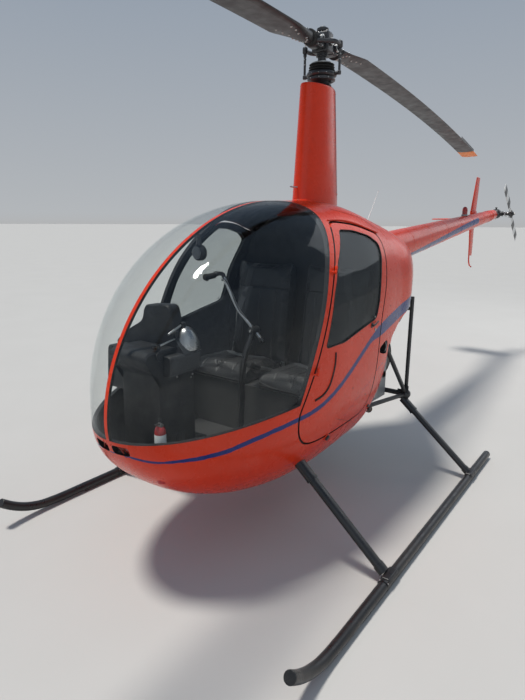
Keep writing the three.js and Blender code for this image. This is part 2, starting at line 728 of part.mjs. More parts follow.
function cylinder(side, y) {
  const { crankZ, barrel, headFrom, headTo, headHalf } = engineBay;
  const [near, far] = side > 0 ? [headFrom, headTo] : [-headTo, -headFrom];
  const [coverNear, coverFar] = side > 0 ? [headTo - 4, headTo + 22] : [-headTo - 22, 4 - headTo];
  return union([
    rod([side * 80, y, crankZ], [side * (headFrom + 5), y, crankZ], barrel, 18),
    box([near, y - headHalf, crankZ - 64], [far, y + headHalf, crankZ + 64]),
    box([coverNear, y - 52, crankZ + 12], [coverFar, y - 8, crankZ + 52]),
    box([coverNear, y + 8, crankZ + 12], [coverFar, y + 52, crankZ + 52]),
    rod([side * 250, y, crankZ + 60], [side * 250, y, crankZ + 76], 9, 8),
  ]);
}

function engine() {
  const { crankZ, frontY, aftY, cylinders, sheave } = engineBay;
  const mountY = frameCorner.y - frameCorner.crossRadius * Math.cos(Math.PI / 14) - clear;
  const crankcase = beam([[-96, crankZ - 80], [-72, crankZ - 108], [72, crankZ - 108], [96, crankZ - 80],
    [96, crankZ + 70], [58, crankZ + 100], [-58, crankZ + 100], [-96, crankZ + 70]], frontY, aftY);
  const sump = beam([[-110, 486], [110, 486], [140, 512], [140, 560], [96, crankZ - 100], [-96, crankZ - 100],
    [-140, 560], [-140, 512]], frontY + 20, aftY - 15);
  const wheel = (z, radius) => rod([0, sheave.y, z], [0, sheave.y + sheave.width, z], radius, 20);
  const run = (from, to) => box([from, sheave.y + 6, crankZ], [to, sheave.y + sheave.width - 6, sheave.highZ]);
  const mount = (from, to) => box([from, aftY - 45, 488], [to, mountY, 506])
    .add(box([from, aftY - 45, 488], [to, aftY - 15, 580]));
  return union([
    crankcase,
    sump,
    ...cylinders.left.map((y) => cylinder(1, y)),
    ...cylinders.right.map((y) => cylinder(-1, y)),
    rod([0, aftY - 5, crankZ], [0, sheave.y + 5, crankZ], 60, 20),
    wheel(crankZ, sheave.lowRadius),
    wheel(sheave.highZ, sheave.highRadius),
    run(-82, -68),
    run(68, 82),
    rod([0, 300, sheave.highZ], [0, 570, sheave.highZ], 22, 14),
    rod([0, 484, sheave.highZ], [0, 545, sheave.highZ], 52, 18),
    box([-18, 330, crankZ + 90], [18, 366, sheave.highZ]),
    box([-78, -40, crankZ - 70], [78, frontY + 5, crankZ + 60]),
    rod([-45, -62, crankZ + 30], [-45, -30, crankZ + 30], 30, 14),
    rod([45, -62, crankZ + 30], [45, -30, crankZ + 30], 30, 14),
    box([-70, -55, 470], [70, frontY + 25, 575]),
    mount(108, 150),
    mount(-150, -108),
  ]);
}

// Fan scroll behind the engine, with an open mouth, a hub and the two panels that lead its air to the cylinders.
function fanShroud() {
  const { crankZ, sheave } = engineBay;
  const scroll = [];
  const steps = 40;
  for (let k = 0; k < steps; k++) {
    const turn = (2 * Math.PI * k) / steps;
    const radius = 228 + 52 * (k / steps);
    scroll.push([radius * Math.cos(turn + 1.2), crankZ + radius * Math.sin(turn + 1.2)]);
  }
  const front = 500;
  const back = 660;
  const drum = beam(scroll, front, back - 18).add(beam(drawnIn(scroll, 20), back - 20, back));
  const mouth = rod([0, back - 78, crankZ], [0, back + 20, crankZ], 165, 32, 178);
  const hub = rod([0, back - 80, crankZ], [0, back - 12, crankZ], 82, 24, 46);
  const stub = rod([0, sheave.y + sheave.width + clear, crankZ], [0, front + 5, crankZ], 40, 14);
  const panel = (from, to) => {
    const outline = [[from, crankZ + 86], [to, crankZ + 82], [to, crankZ + 88], [from, crankZ + 104]];
    return beam(outline, 66, front + 8);
  };
  return drum.subtract(mouth).add(hub).add(stub).add(panel(106, 296)).add(panel(-106, -296));
}

function muffler() {
  const { crankZ, cylinders } = engineBay;
  const top = crankZ - 64 - clear;
  const riser = (x, y) => union([
    rod([x, y, top], [x, y, top - 24], 26, 12),
    rod([x, y, top - 20], [x * 0.88, 210 + (y - 210) * 0.5, 440], 19, 10),
  ]);
  return union([
    rod([-262, 210, 410], [262, 210, 410], 64, 20),
    ...cylinders.left.map((y) => riser(252, y)),
    ...cylinders.right.map((y) => riser(-252, y)),
    rod([170, 210, 400], [190, 360, 372], 27, 12),
    rod([190, 352, 374], [196, 470, 330], 27, 12),
  ]);
}

// Cabin interior

function cabinFloor() {
  return hullSolid(wall + clear).intersect(box([-700, -1500, floorZ], [700, -665, floorZ + floorThick]));
}

function seatBase() {
  const besideDoor = hullSolid(wall - 1).subtract(hullSolid(wall + 8)).intersect(doorPrisms);
  return hullSolid(wall + clear).intersect(box([-700, -664, 0], [700, firewall.y - clear, seatTop]))
    .subtract(besideDoor);
}

function seatCushion(side) {
  const [near, far] = side > 0 ? [32, 492] : [-492, -32];
  const foot = seatTop + clear;
  const outline = [[-690, foot], [-300, foot], [-300, 810], [-640, 838], [-690, 815]];
  return prism(outline, near, far);
}

function seatBack(side) {
  const [near, far] = side > 0 ? [36, 480] : [-480, -36];
  const outline = [[-290, 760], [-270, seatTop + clear], [-222, seatTop + clear], [-125, 1180], [-125, 1330],
    [-150, 1415], [-185, 1415], [-215, 1330]];
  return prism(outline, near, far).intersect(hullSolid(wall + 12));
}

function consolePanel() {
  const foot = floorZ + floorThick + clear;
  const pedestal = beam([[-120, foot], [120, foot], [120, 1010], [-120, 1010]], -1540, -1240);
  const panel = beam([[-262, 985], [165, 1000], [168, 1088], [96, 1130], [92, 1200], [78, 1284], [-82, 1276],
    [-98, 1190], [-190, 1130], [-270, 1098]], -1430, -1240);
  return pedestal.add(panel).intersect(hullSolid(wall + 6));
}

// Stick between the seats with one arm raised to starboard; the port arm is a short socket.
function cyclic() {
  const pivot = [0, -640, 1058];
  const kink = [-102, -640, 1154];
  const armEnd = [-236, -640, 1356];
  return union([
    rod([0, -760, floorZ + floorThick + clear], [0, -760, floorZ + 34], 26, 10),
    rod([0, -760, floorZ + 28], [0, -722, 930], 17, 10),
    rod([0, -722, 925], pivot, 15, 10),
    rod([0, -665, 1058], [0, -615, 1058], 24, 12),
    rod([58, -640, 1008], kink, 13, 10),
    rod(kink, armEnd, 11, 10),
    ball(kink, 12),
    ball(armEnd, 14),
    rod(armEnd, [-252, -765, 1345], 13, 10),
    rod([-246, -705, 1350], [-254, -778, 1344], 17, 12),
  ]);
}

function collectiveLever() {
  const x = -12;
  const foot = seatTop + clear;
  return rod([x, -400, foot], [x, -400, foot + 26], 20, 12)
    .add(rod([x, -400, foot + 14], [x, -590, 836], 10, 10))
    .add(rod([x, -580, 832], [x, -675, 870], 17, 12));
}

function pedals(side) {
  const y = -1190;
  const foot = floorZ + floorThick + clear;
  return union([
    rod([side * 190, y, foot], [side * 190, y, 560], 10, 8),
    rod([side * 118, y, 560], [side * 262, y, 560], 9, 8),
    rod([side * 118, y, 560], [side * 118, y - 20, 660], 8, 8),
    rod([side * 262, y, 560], [side * 262, y - 20, 660], 8, 8),
    rod([side * 82, y - 20, 658], [side * 152, y - 20, 658], 14, 10),
    rod([side * 228, y - 20, 658], [side * 298, y - 20, 658], 14, 10),
  ]);
}

function extinguisher() {
  const profile = [[0, 0], [32, 0], [32, 240], [24, 258], [12, 266], [12, 284], [0, 286]];
  return moved(turned(profile, 18), 166, -1478, 520).intersect(hullSolid(wall + clear));
}

function compass() {
  const y = -1065;
  const { roof } = hullSection(y, 0);
  const profile = [[0, -150], [34, -142], [42, -110], [40, -72], [16, -60], [14, 0], [0, 0]];
  return moved(turned(profile, 14), 0, y, roof).intersect(hullSolid(14 + clear));
}

// Small pieces on the skin

// Outline drawn in towards its own middle by a distance.
function drawnIn(outline, distance) {
  const mean = (k) => outline.reduce((sum, point) => sum + point[k], 0) / outline.length;
  const middle = [mean(0), mean(1)];
  return outline.map(([u, v]) => {
    const out = new THREE.Vector2(u - middle[0], v - middle[1]);
    const scale = 1 - distance / out.length();
    return [middle[0] + out.x * scale, middle[1] + out.y * scale];
  });
}

// Air intake sunk in the side behind the door: a sloping floor that ends in a mouth facing forward.
function intakeDuct() {
  const inX = hullX(-112, 947) - 44;
  const hollow = beam([[inX, 924], [inX, 970], [700, 970], [700, 924]], -250, -106);
  const plan = [[700, -206], [hullX(-206, 945) - 1, -206], [inX, -112], [inX, -100], [700, -100]];
  const slope = solidOf(loft([800, 1100].map((z) => plan.map(([x, y]) => vec(x, y, z)))));
  return hullSolid(0).intersect(prism(drawnIn(ductOutline, 1.2), inX - 6, 700))
    .subtract(hollow.intersect(slope));
}

function landingLamp() {
  return shell(12, 34).intersect(beam(drawnIn(lampOutline, 1), -1700, -1550));
}

function cowlAntenna() {
  return rod([0, 655, 1570], [0, 665, 1600], 11, 12, 6).add(rod([0, 664, 1596], [0, 862, 1868], 4, 8, 2.5))
    .subtract(hullSolid(-clear));
}

// Assembly

const aircraft = new THREE.Group();
aircraft.position.set(0, -mastToOrigin, 0);

const finishes = {
  red: [0xc8281a, 0.32, 0],
  clear: [0xb8c4c8, 0.05, 0],
  tinted: [0x3d4145, 0.08, 0],
  black: [0x15161a, 0.45, 0],
  steel: [0x2b2c2e, 0.5, 0.6],
  alloy: [0x8d8f92, 0.5, 0.8],
  blade: [0x3a3b3e, 0.55, 0],
  leather: [0x17171a, 0.6, 0],
  carpet: [0x26262a, 0.9, 0],
  lamp: [0x5a0d0d, 0.15, 0],
  white: [0xdddddd, 0.4, 0],
};

function add(parent, name, solid, finish) {
  const [color, roughness, metalness] = finishes[finish];
  const material = new THREE.MeshStandardMaterial({ color, roughness, metalness });
  const mesh = new THREE.Mesh(geometryOf(solid), material);
  mesh.name = name;
  parent.add(mesh);
  return mesh;
}

function addPair(parent, name, solid, finish) {
  add(parent, `${name}_left`, solid, finish);
  add(parent, `${name}_right`, mirrored(solid), finish);
}

add(aircraft, "cabin_tub", tub(), "red");
add(aircraft, "cabin_roof_frame", roofFrame(), "red");
addPair(aircraft, "windshield", windshieldLeft(), "clear");
add(aircraft, "windshield_strip", windshieldStrip(), "red");
addPair(aircraft, "door", doorLeft(), "red");
addPair(aircraft, "door_window", doorWindowLeft(), "tinted");
add(aircraft, "aft_cowl", aftCowl(), "red");
addPair(aircraft, "intake_duct", intakeDuct(), "black");
addPair(aircraft, "landing_lamp", landingLamp(), "lamp");
add(aircraft, "cowl_antenna", cowlAntenna(), "white");
add(aircraft, "bulkhead", bulkhead(), "black");
add(aircraft, "deck_plate", deckPlate(), "alloy");
add(aircraft, "mast_fairing", fairing(), "red");
add(aircraft, "pitot_tube", pitot(), "alloy");
add(aircraft, "tail_boom", tailBoom(), "red");
add(aircraft, "fin_mount", finMount(), "alloy");
add(aircraft, "upper_fin", upperFin(), "red");
add(aircraft, "lower_fin", lowerFin(), "red");
add(aircraft, "stabilizer", stabilizer(), "red");
add(aircraft, "tail_skid", tailSkid(), "steel");
add(aircraft, "tail_gearbox", tailGearbox(), "alloy");
add(aircraft, "beacon", beaconLamp(), "lamp");

addPair(aircraft, "skid", skidLeft(), "black");
addPair(aircraft, "front_leg", frontLeg(), "black");
addPair(aircraft, "rear_leg", rearLeg(), "black");

add(aircraft, "bay_frame", bayFrame(), "steel");
add(aircraft, "engine", engine(), "alloy");
add(aircraft, "fan_shroud", fanShroud(), "black");
add(aircraft, "muffler", muffler(), "steel");

add(aircraft, "cabin_floor", cabinFloor(), "carpet");
add(aircraft, "seat_base", seatBase(), "carpet");
for (const [label, side] of [["left", 1], ["right", -1]]) {
  add(aircraft, `seat_cushion_${label}`, seatCushion(side), "leather");
  add(aircraft, `seat_back_${label}`, seatBack(side), "leather");
  add(aircraft, `pedals_${label}`, pedals(side), "alloy");
}
add(aircraft, "console", consolePanel(), "black");
add(aircraft, "cyclic_stick", cyclic(), "alloy");
add(aircraft, "collective_lever", collectiveLever(), "alloy");
add(aircraft, "fire_bottle", extinguisher(), "red");
add(aircraft, "compass", compass(), "black");

add(aircraft, "main_gearbox", mainGearbox(), "alloy");
add(aircraft, "lower_swashplate", lowerSwashplate(), "alloy");
const mainRotor = new THREE.Group();
mainRotor.position.set(0, 0, rotor.hubZ);
mainRotor.rotation.z = THREE.MathUtils.degToRad(rotor.parked);
aircraft.add(mainRotor);
add(mainRotor, "rotor_head", rotorHead(), "steel");
add(mainRotor, "swashplate", swashplate(), "alloy");
add(mainRotor, "main_blade_aft", mainBlade(), "blade");
add(mainRotor, "main_blade_front", mainBlade(), "blade").rotation.z = Math.PI;

const tailGroup = new THREE.Group();
tailGroup.position.set(tailRotor.x, tailRotor.y, tailRotor.z);
tailGroup.rotation.x = THREE.MathUtils.degToRad(tailRotor.parked);
aircraft.add(tailGroup);
add(tailGroup, "tail_hub", tailHub(), "steel");
add(tailGroup, "tail_blade_front", tailBlade(), "blade");
add(tailGroup, "tail_blade_aft", tailBlade(), "blade").rotation.x = Math.PI;

export default aircraft;
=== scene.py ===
import math
import bmesh
import bpy
import numpy as np
from mathutils import Matrix, Vector
from mathutils.bvhtree import BVHTree


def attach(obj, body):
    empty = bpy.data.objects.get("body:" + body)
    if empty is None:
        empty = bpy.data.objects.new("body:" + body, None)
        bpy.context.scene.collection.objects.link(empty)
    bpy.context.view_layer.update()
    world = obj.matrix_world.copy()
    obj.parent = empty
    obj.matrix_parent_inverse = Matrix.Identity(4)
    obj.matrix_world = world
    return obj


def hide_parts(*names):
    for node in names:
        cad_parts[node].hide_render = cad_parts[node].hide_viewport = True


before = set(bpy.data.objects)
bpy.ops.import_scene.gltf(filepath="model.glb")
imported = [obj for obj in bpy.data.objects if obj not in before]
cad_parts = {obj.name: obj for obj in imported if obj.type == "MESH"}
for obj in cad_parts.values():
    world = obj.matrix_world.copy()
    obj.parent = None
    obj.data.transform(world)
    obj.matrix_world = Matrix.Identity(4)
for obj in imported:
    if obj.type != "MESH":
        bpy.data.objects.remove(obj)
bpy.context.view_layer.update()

print("frame loaded:", len(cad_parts), "nodes")

# Everything is set out in millimetres from the mast axis at ground level, +X to port, +Y aft.
# setOut moves a finished mesh to the frame's own origin and scale.
mastToOrigin = 484.18


def setOut(points):
    return (np.asarray(points, float) - (0.0, mastToOrigin, 0.0)) / 1000


# camera, floor and light
view = dict(place=(1732, -2903, 1636), yaw=36.478, pitch=13.57, roll=0.38, lens=18.10, sensorHeight=24)


def makeCamera(v):
    yaw, pitch, roll = (math.radians(v[k]) for k in ("yaw", "pitch", "roll"))
    ahead = Vector((-math.sin(yaw), math.cos(yaw), 0))
    up = Vector((0, 0, 1))
    side = ahead.cross(up)
    look = ahead * math.cos(pitch) - up * math.sin(pitch)
    rise = up * math.cos(pitch) + ahead * math.sin(pitch)
    right = side * math.cos(roll) + rise * math.sin(roll)
    top = rise * math.cos(roll) - side * math.sin(roll)
    data = bpy.data.cameras.new("view")
    data.sensor_fit = "VERTICAL"
    data.sensor_height = v["sensorHeight"]
    data.lens = v["lens"]
    data.clip_end = 1000
    camera = bpy.data.objects.new("view", data)
    turn = Matrix((right, top, -look)).transposed().to_4x4()
    camera.matrix_world = Matrix.Translation(Vector(setOut(v["place"]))) @ turn
    bpy.context.scene.collection.objects.link(camera)
    bpy.context.scene.camera = camera


makeCamera(view)

bpy.context.scene.view_settings.view_transform = "Standard"

light = dict(
    sky=((0.42, 0.55, 0.74), 0.5), horizon=(0.90, 0.94, 0.98), ground=(0.88, 0.88, 0.88),
    sun=dict(place=(-1900, -1500, 9000), aim=(0, 0, 0), spread=10, power=3.0, colour=(1.0, 0.965, 0.91)),
    fill=dict(place=(5200, -4200, 4200), aim=(0, 0, 1000), size=6.0, power=36, colour=(0.90, 0.95, 1.0)),
    back=dict(place=(2500, 7000, 5200), aim=(0, 1500, 1200), size=5.0, power=80, colour=(1.0, 1.0, 1.0)),
)


def addLight(name, kind, v):
    data = bpy.data.lights.new(name, kind)
    data.energy, data.color = v["power"], v["colour"]
    if kind == "SUN":
        data.angle = math.radians(v["spread"])
    else:
        data.size = v["size"]
    lamp = bpy.data.objects.new(name, data)
    place, aim = Vector(setOut(v["place"])), Vector(setOut(v["aim"]))
    lamp.location = place
    lamp.rotation_euler = (aim - place).to_track_quat("-Z", "Y").to_euler()
    bpy.context.scene.collection.objects.link(lamp)


for lampName, kind in (("sun", "SUN"), ("fill", "AREA"), ("back", "AREA")):
    addLight(lampName + "Light", kind, light[lampName])


def makeSky(v):
    world = bpy.data.worlds.new("sky")
    world.use_nodes = True
    tree = world.node_tree
    back = tree.nodes["Background"]
    coords = tree.nodes.new("ShaderNodeTexCoord")
    split = tree.nodes.new("ShaderNodeSeparateXYZ")
    ramp = tree.nodes.new("ShaderNodeValToRGB")
    ramp.color_ramp.elements[0].position = 0.494
    ramp.color_ramp.elements[0].color = (*v["ground"], 1)
    ramp.color_ramp.elements[1].position = 0.78
    ramp.color_ramp.elements[1].color = (*v["sky"][0], 1)
    ramp.color_ramp.elements.new(0.506).color = (*v["horizon"], 1)
    spread = tree.nodes.new("ShaderNodeMath")
    spread.operation = "MULTIPLY_ADD"
    spread.inputs[1].default_value = 0.5
    spread.inputs[2].default_value = 0.5
    tree.links.new(coords.outputs["Generated"], split.inputs[0])
    tree.links.new(split.outputs["Z"], spread.inputs[0])
    tree.links.new(spread.outputs[0], ramp.inputs[0])
    tree.links.new(ramp.outputs[0], back.inputs[0])
    back.inputs[1].default_value = v["sky"][1]
    bpy.context.scene.world = world


makeSky(light)

# surfaces as arrays: a part is (points, faces)


def gridFaces(rows, cols, closeRows=False, closeCols=False):
    # quads between neighbouring rows and columns of a grid, wrapping round where a direction is closed
    r = np.arange(rows if closeRows else rows - 1)[:, None]
    c = np.arange(cols if closeCols else cols - 1)[None, :]
    rn, cn = (r + 1) % rows, (c + 1) % cols
    quads = np.stack([r * cols + c, r * cols + cn, rn * cols + cn, rn * cols + c], -1)
    return quads.reshape(-1, 4).tolist()


def tubeOf(rings):
    # closed skin through rings [rows, sides, 3], a fan to the middle of the first and last ring
    rows, sides = rings.shape[:2]
    points = np.vstack([rings.reshape(-1, 3), rings[0].mean(0), rings[-1].mean(0)])
    faces = gridFaces(rows, sides, closeCols=True)
    a, s = rows * sides, np.arange(sides)
    n = (s + 1) % sides
    faces += np.stack([np.full(sides, a), n, s], -1).tolist()
    last = (rows - 1) * sides
    faces += np.stack([np.full(sides, a + 1), last + s, last + n], -1).tolist()
    return points, faces


def joined(parts):
    # several parts as one, each one's faces counted on from the points before it
    points, faces, start = [], [], 0
    for p, f in parts:
        points.append(np.asarray(p, float))
        faces += [[i + start for i in face] for face in f]
        start += len(p)
    return np.vstack(points), faces


def moved(part, by=(0, 0, 0), turn=None):
    # points times a turn, plus a shift
    p = np.asarray(part[0], float)
    if turn is not None:
        p = p @ np.array(turn).T
    return p + np.asarray(by, float), part[1]


def turnAbout(axis, degrees):
    return np.array(Matrix.Rotation(math.radians(degrees), 3, Vector(axis)))


axisOrder = {"x": (2, 0, 1), "y": (0, 2, 1), "z": (0, 1, 2)}   # where a profile's (u, v, height) go for each axis


def flipped(part):
    # the same part on the other side of the centre plane, faces wound back outwards
    return np.asarray(part[0]) * (-1, 1, 1), [face[::-1] for face in part[1]]


def unit(v):
    v = np.asarray(v, float)
    return v / np.maximum(np.linalg.norm(v, axis=-1, keepdims=True), 1e-9)


def cubicAlong(k, t, step, value, slope):
    # cubic between neighbours k and k + 1 that keeps their slopes, at a share t of the step between them
    return (value[k] * (1 + 2 * t) * (1 - t) ** 2 + step * slope[k] * t * (1 - t) ** 2
            + value[k + 1] * t * t * (3 - 2 * t) + step * slope[k + 1] * t * t * (t - 1))


def curveThrough(points, count):
    # smooth line: a cubic through the points, spaced by their distance along
    points = np.asarray(points, float)
    along = np.r_[0, np.cumsum(np.linalg.norm(np.diff(points, axis=0), axis=1))]
    at = np.linspace(0, along[-1], count)
    if len(points) > 2:
        slope = np.gradient(points, along, axis=0)
    else:
        slope = np.tile((points[1] - points[0]) / along[-1], (2, 1))
    k = np.clip(np.searchsorted(along, at, side="right") - 1, 0, len(along) - 2)
    step = (along[k + 1] - along[k])[:, None]
    t = ((at - along[k]) / step[:, 0])[:, None]
    return cubicAlong(k, t, step, points, slope)


def frameAlong(path, closed=False):
    # tangent by neighbours, side = tangent x reference (the axis it leans to least), up = side x tangent
    if closed:
        tangent = unit(np.roll(path, -1, 0) - np.roll(path, 1, 0))
    else:
        tangent = unit(np.gradient(path, axis=0))
    spread = np.abs(tangent).max(0)
    reference = np.eye(3)[int(np.argmin(spread))]
    side = unit(np.cross(tangent, reference))
    return side, np.cross(side, tangent)


def sweep(path, section, closed=False, scale=None):
    # a flat section [n, 2] carried along a path: point = path + side * u + up * v
    path = np.asarray(path, float)
    side, up = frameAlong(path, closed)
    section = np.asarray(section, float)
    size = np.ones(len(path)) if scale is None else np.asarray(scale, float)
    rings = path[:, None] + size[:, None, None] * (
        side[:, None] * section[None, :, :1] + up[:, None] * section[None, :, 1:])
    if closed:
        return rings.reshape(-1, 3), gridFaces(len(path), len(section), True, True)
    return tubeOf(rings)


def turns(count):
    return np.arange(count) * 2 * math.pi / count


def circle(radius, sides=16, squash=1.0):
    turn = turns(sides)
    return np.stack([radius * np.cos(turn), radius * squash * np.sin(turn)], -1)


def hoop(centre, radius, section, count, high=None):
    # a section carried round a circle, or an ellipse of another height, that faces along Y
    turn = turns(count)
    x, y, z = centre
    path = np.stack([x + radius * np.cos(turn), np.full(count, y), z + (high or radius) * np.sin(turn)], -1)
    return sweep(path, section, closed=True)


def closedSheets(front, back):
    # two grids of points, one behind the other, their rims joined all round
    rows, cols = front.shape[:2]
    n = rows * cols
    faces = gridFaces(rows, cols) + [[i + n for i in f[::-1]] for f in gridFaces(rows, cols)]
    edge = np.r_[np.arange(cols), np.arange(2 * cols - 1, n, cols), np.arange(n - 2, n - cols - 1, -1),
                 np.arange(n - 2 * cols, 0, -cols)]
    nxt = np.roll(edge, -1)
    faces += np.stack([edge, nxt, nxt + n, edge + n], -1).tolist()
    return np.vstack([front.reshape(-1, 3), back.reshape(-1, 3)]), faces


def rod(start, end, radius, sides=16, endRadius=None, round=1.0):
    # a straight bar whose rims are eased: radius by station, 90% at the very ends
    start, end = np.asarray(start, float), np.asarray(end, float)
    length = np.linalg.norm(end - start)
    ease = min(round, length * 0.2, radius * 0.5)
    at = np.array([0, ease * 0.3, ease, length - ease, length - ease * 0.3, length]) / length
    other = radius if endRadius is None else endRadius
    size = radius + (other - radius) * at
    size[[0, -1]] -= ease
    size[[1, -2]] -= ease * 0.3
    path = start + (end - start) * at[:, None]
    return sweep(path, circle(1, sides), scale=size)


def pipe(points, radius, count=40, sides=12, scale=None):
    # round bar along a smooth line through the points
    return sweep(curveThrough(points, count), circle(radius, sides), scale=scale)


def lathe(profile, centre=(0, 0, 0), axis="z", sides=32):
    # profile of [radius, height] turned about an axis through the centre
    profile = np.asarray(profile, float)
    turn = turns(sides)
    r, h = profile[:, :1], profile[:, 1:]
    flat = [r * np.cos(turn), r * np.sin(turn), h + 0 * turn]
    points = np.stack([flat[k] for k in axisOrder[axis]], -1).reshape(-1, 3) + centre
    return points, gridFaces(len(profile), sides, closeCols=True)


def pillow(low, high, ease=4.0, corner=6):
    # rounded block: rounded-rectangle rings stacked in z, drawn in by a quarter circle at both ends
    low, high = np.asarray(low, float), np.asarray(high, float)
    half, centre = (high - low) / 2, (high + low) / 2
    ease = min(ease, half.min() * 0.98)
    quarter = np.linspace(0, math.pi / 2, corner)
    ring = []
    for k in range(4):
        turn = quarter + k * math.pi / 2
        corners = np.array([(1, 1), (-1, 1), (-1, -1), (1, -1)][k])
        ring.append(np.stack([corners[0] + 0 * turn, corners[1] + 0 * turn, np.cos(turn), np.sin(turn)], -1))
    ring = np.vstack(ring)
    lift = np.r_[-np.cos(quarter), np.cos(quarter)[::-1]]
    inset = np.r_[np.sin(quarter), np.sin(quarter)[::-1]]
    stand = np.r_[-np.ones(corner), np.ones(corner)]
    rings = []
    for a, b, c in zip(lift, inset, stand):
        x = ring[:, 0] * (half[0] - ease) + ring[:, 2] * ease * b
        y = ring[:, 1] * (half[1] - ease) + ring[:, 3] * ease * b
        z = c * (half[2] - ease) + a * ease
        rings.append(np.stack([x, y, z + 0 * x], -1))
    part = tubeOf(np.array(rings))
    return part[0] + centre, part[1]


def plate(outline, thick, axis="x", at=0.0, ease=0.8):
    # a flat outline [n, 2] given a thickness about a plane, its rims eased
    outline = np.asarray(outline, float)
    middle = outline.mean(0)
    inward = unit(middle - outline)
    levels = np.array([-0.5, -0.5, 0.5, 0.5]) * thick + np.array([0, ease, -ease, 0])
    draw = np.array([ease, 0, 0, ease])
    rings = []
    for h, d in zip(levels, draw):
        flat = outline + inward * d
        rings.append(np.c_[flat, np.full(len(flat), h)])
    points, faces = tubeOf(np.array(rings))
    points = points[:, axisOrder[axis]]
    points[:, "xyz".index(axis)] += at
    return points, faces


def softened(outline, reach, steps=6, closed=True):
    # each corner becomes a quadratic arc that starts and ends a reach away, or halfway along its sides
    p = np.asarray(outline, float)
    before, after = np.roll(p, 1, 0), np.roll(p, -1, 0)
    def leg(other):
        gap = np.linalg.norm(other - p, axis=1, keepdims=True)
        return p + (other - p) * np.minimum(0.5, reach / np.maximum(gap, 1e-6))
    t = np.linspace(0, 1, steps)[None, :, None]
    arcs = leg(before)[:, None] * (1 - t) ** 2 + 2 * p[:, None] * t * (1 - t) + leg(after)[:, None] * t * t
    if not closed:
        arcs[0], arcs[-1] = p[0], p[-1]
    line = arcs.reshape(-1, p.shape[1])
    keep = np.r_[True, np.linalg.norm(np.diff(line, axis=0), axis=1) > 0.01]
    line = line[keep]
    if closed and np.linalg.norm(line[0] - line[-1]) < 0.01:
        line = line[:-1]
    return line


def offsetLoop(loop, distance):
    # every point moved along the loop's normal; a positive distance grows a loop of either winding
    ahead = unit(np.roll(loop, -1, 0) - np.roll(loop, 1, 0))
    x, y = loop[:, 0], loop[:, 1]
    winding = np.sign(np.sum(x * np.roll(y, -1) - np.roll(x, -1) * y))
    return loop + np.stack([ahead[:, 1], -ahead[:, 0]], -1) * distance * winding


def domes(places, normals, radius, rise=0.45, sides=8):
    # one low dome per place, standing on its normal
    places, normals = np.asarray(places, float), unit(normals)
    turn = turns(sides)
    reference = np.where(np.abs(normals[:, 2:]) < 0.9, np.array([[0.0, 0, 1]]), np.array([[1.0, 0, 0]]))
    side = unit(np.cross(normals, reference))
    up = np.cross(normals, side)
    spin = side[:, None] * np.cos(turn)[:, None] + up[:, None] * np.sin(turn)[:, None]
    rows = [(1.0, -0.3), (1.0, 0.02), (0.72, rise * 0.75), (0.0, rise)]
    rings = [places[:, None] + radius * (r * spin + h * normals[:, None]) for r, h in rows[:3]]
    top = places + radius * rise * normals
    base = places - radius * 0.3 * normals
    count = len(places)
    one = np.arange(sides)
    nxt = (one + 1) % sides
    block = 3 * sides + 2
    faces = np.vstack([
        np.stack([r * sides + one, r * sides + nxt, (r + 1) * sides + nxt, (r + 1) * sides + one], -1) for r in (0, 1)])
    caps = np.vstack([np.stack([2 * sides + one, 2 * sides + nxt, np.full(sides, 3 * sides)], -1),
                      np.stack([nxt, one, np.full(sides, 3 * sides + 1)], -1)])
    points = np.concatenate([np.stack(rings, 1).reshape(count, 3 * sides, 3), top[:, None], base[:, None]], 1)
    starts = np.arange(count) * block
    quads = (faces[None] + starts[:, None, None]).reshape(-1, 4).tolist()
    tris = (caps[None] + starts[:, None, None]).reshape(-1, 3).tolist()
    return points.reshape(-1, 3), quads + tris


def listed(item):
    return item if isinstance(item, list) else [item]


def turnedGroups(groups, turn):
    return [(kind, [turn(part) for part in listed(parts)]) for kind, parts in groups]


def makePiece(name, groups, body="airframe", stands=(), sharp=35, extra=None):
    # groups of (material, part or parts), all joined into one mesh, doubles merged, normals turned out
    materials, parts = zip(*[(kind, part) for kind, parts in groups for part in listed(parts)])
    points, faces = joined(parts)
    mesh = bpy.data.meshes.new(name)
    mesh.from_pydata(setOut(points).tolist(), [], faces)
    kinds = list(dict.fromkeys(materials))
    for kind in kinds:
        mesh.materials.append(kind)
    index = np.concatenate([np.full(len(p[1]), kinds.index(m)) for p, m in zip(parts, materials)])
    mesh.polygons.foreach_set("material_index", index.astype(np.int32))
    grid = bmesh.new()
    grid.from_mesh(mesh)
    bmesh.ops.remove_doubles(grid, verts=grid.verts, dist=1e-6)
    bmesh.ops.recalc_face_normals(grid, faces=grid.faces)
    grid.to_mesh(mesh)
    grid.free()
    return placePiece(name, mesh, body, stands, sharp, extra)


def makePair(name, groups, body="airframe", stands=(), sharp=35):
    # a piece and its twin on the other side; a body or node that ends in _ is completed with the side
    for side, twin in (("Left", groups), ("Right", turnedGroups(groups, flipped))):
        own, node = [text + side.lower() if text and text.endswith("_") else text for text in (body, stands)]
        makePiece(name + side, twin, own, node, sharp)


def meshPoints(mesh):
    co = np.zeros(len(mesh.vertices) * 3, np.float32)
    mesh.vertices.foreach_get("co", co)
    return co.reshape(-1, 3).astype(float)


def setBack(points):
    # a finished mesh's points in the millimetres that everything is set out in
    return points * 1000 + (0, mastToOrigin, 0)


def evaluatedMesh(thing):
    bpy.context.view_layer.update()
    return bpy.data.meshes.new_from_object(thing.evaluated_get(bpy.context.evaluated_depsgraph_get()))


def dropObjects(things):
    for thing in things:
        data = thing.data
        bpy.data.objects.remove(thing)
        bpy.data.meshes.remove(data)


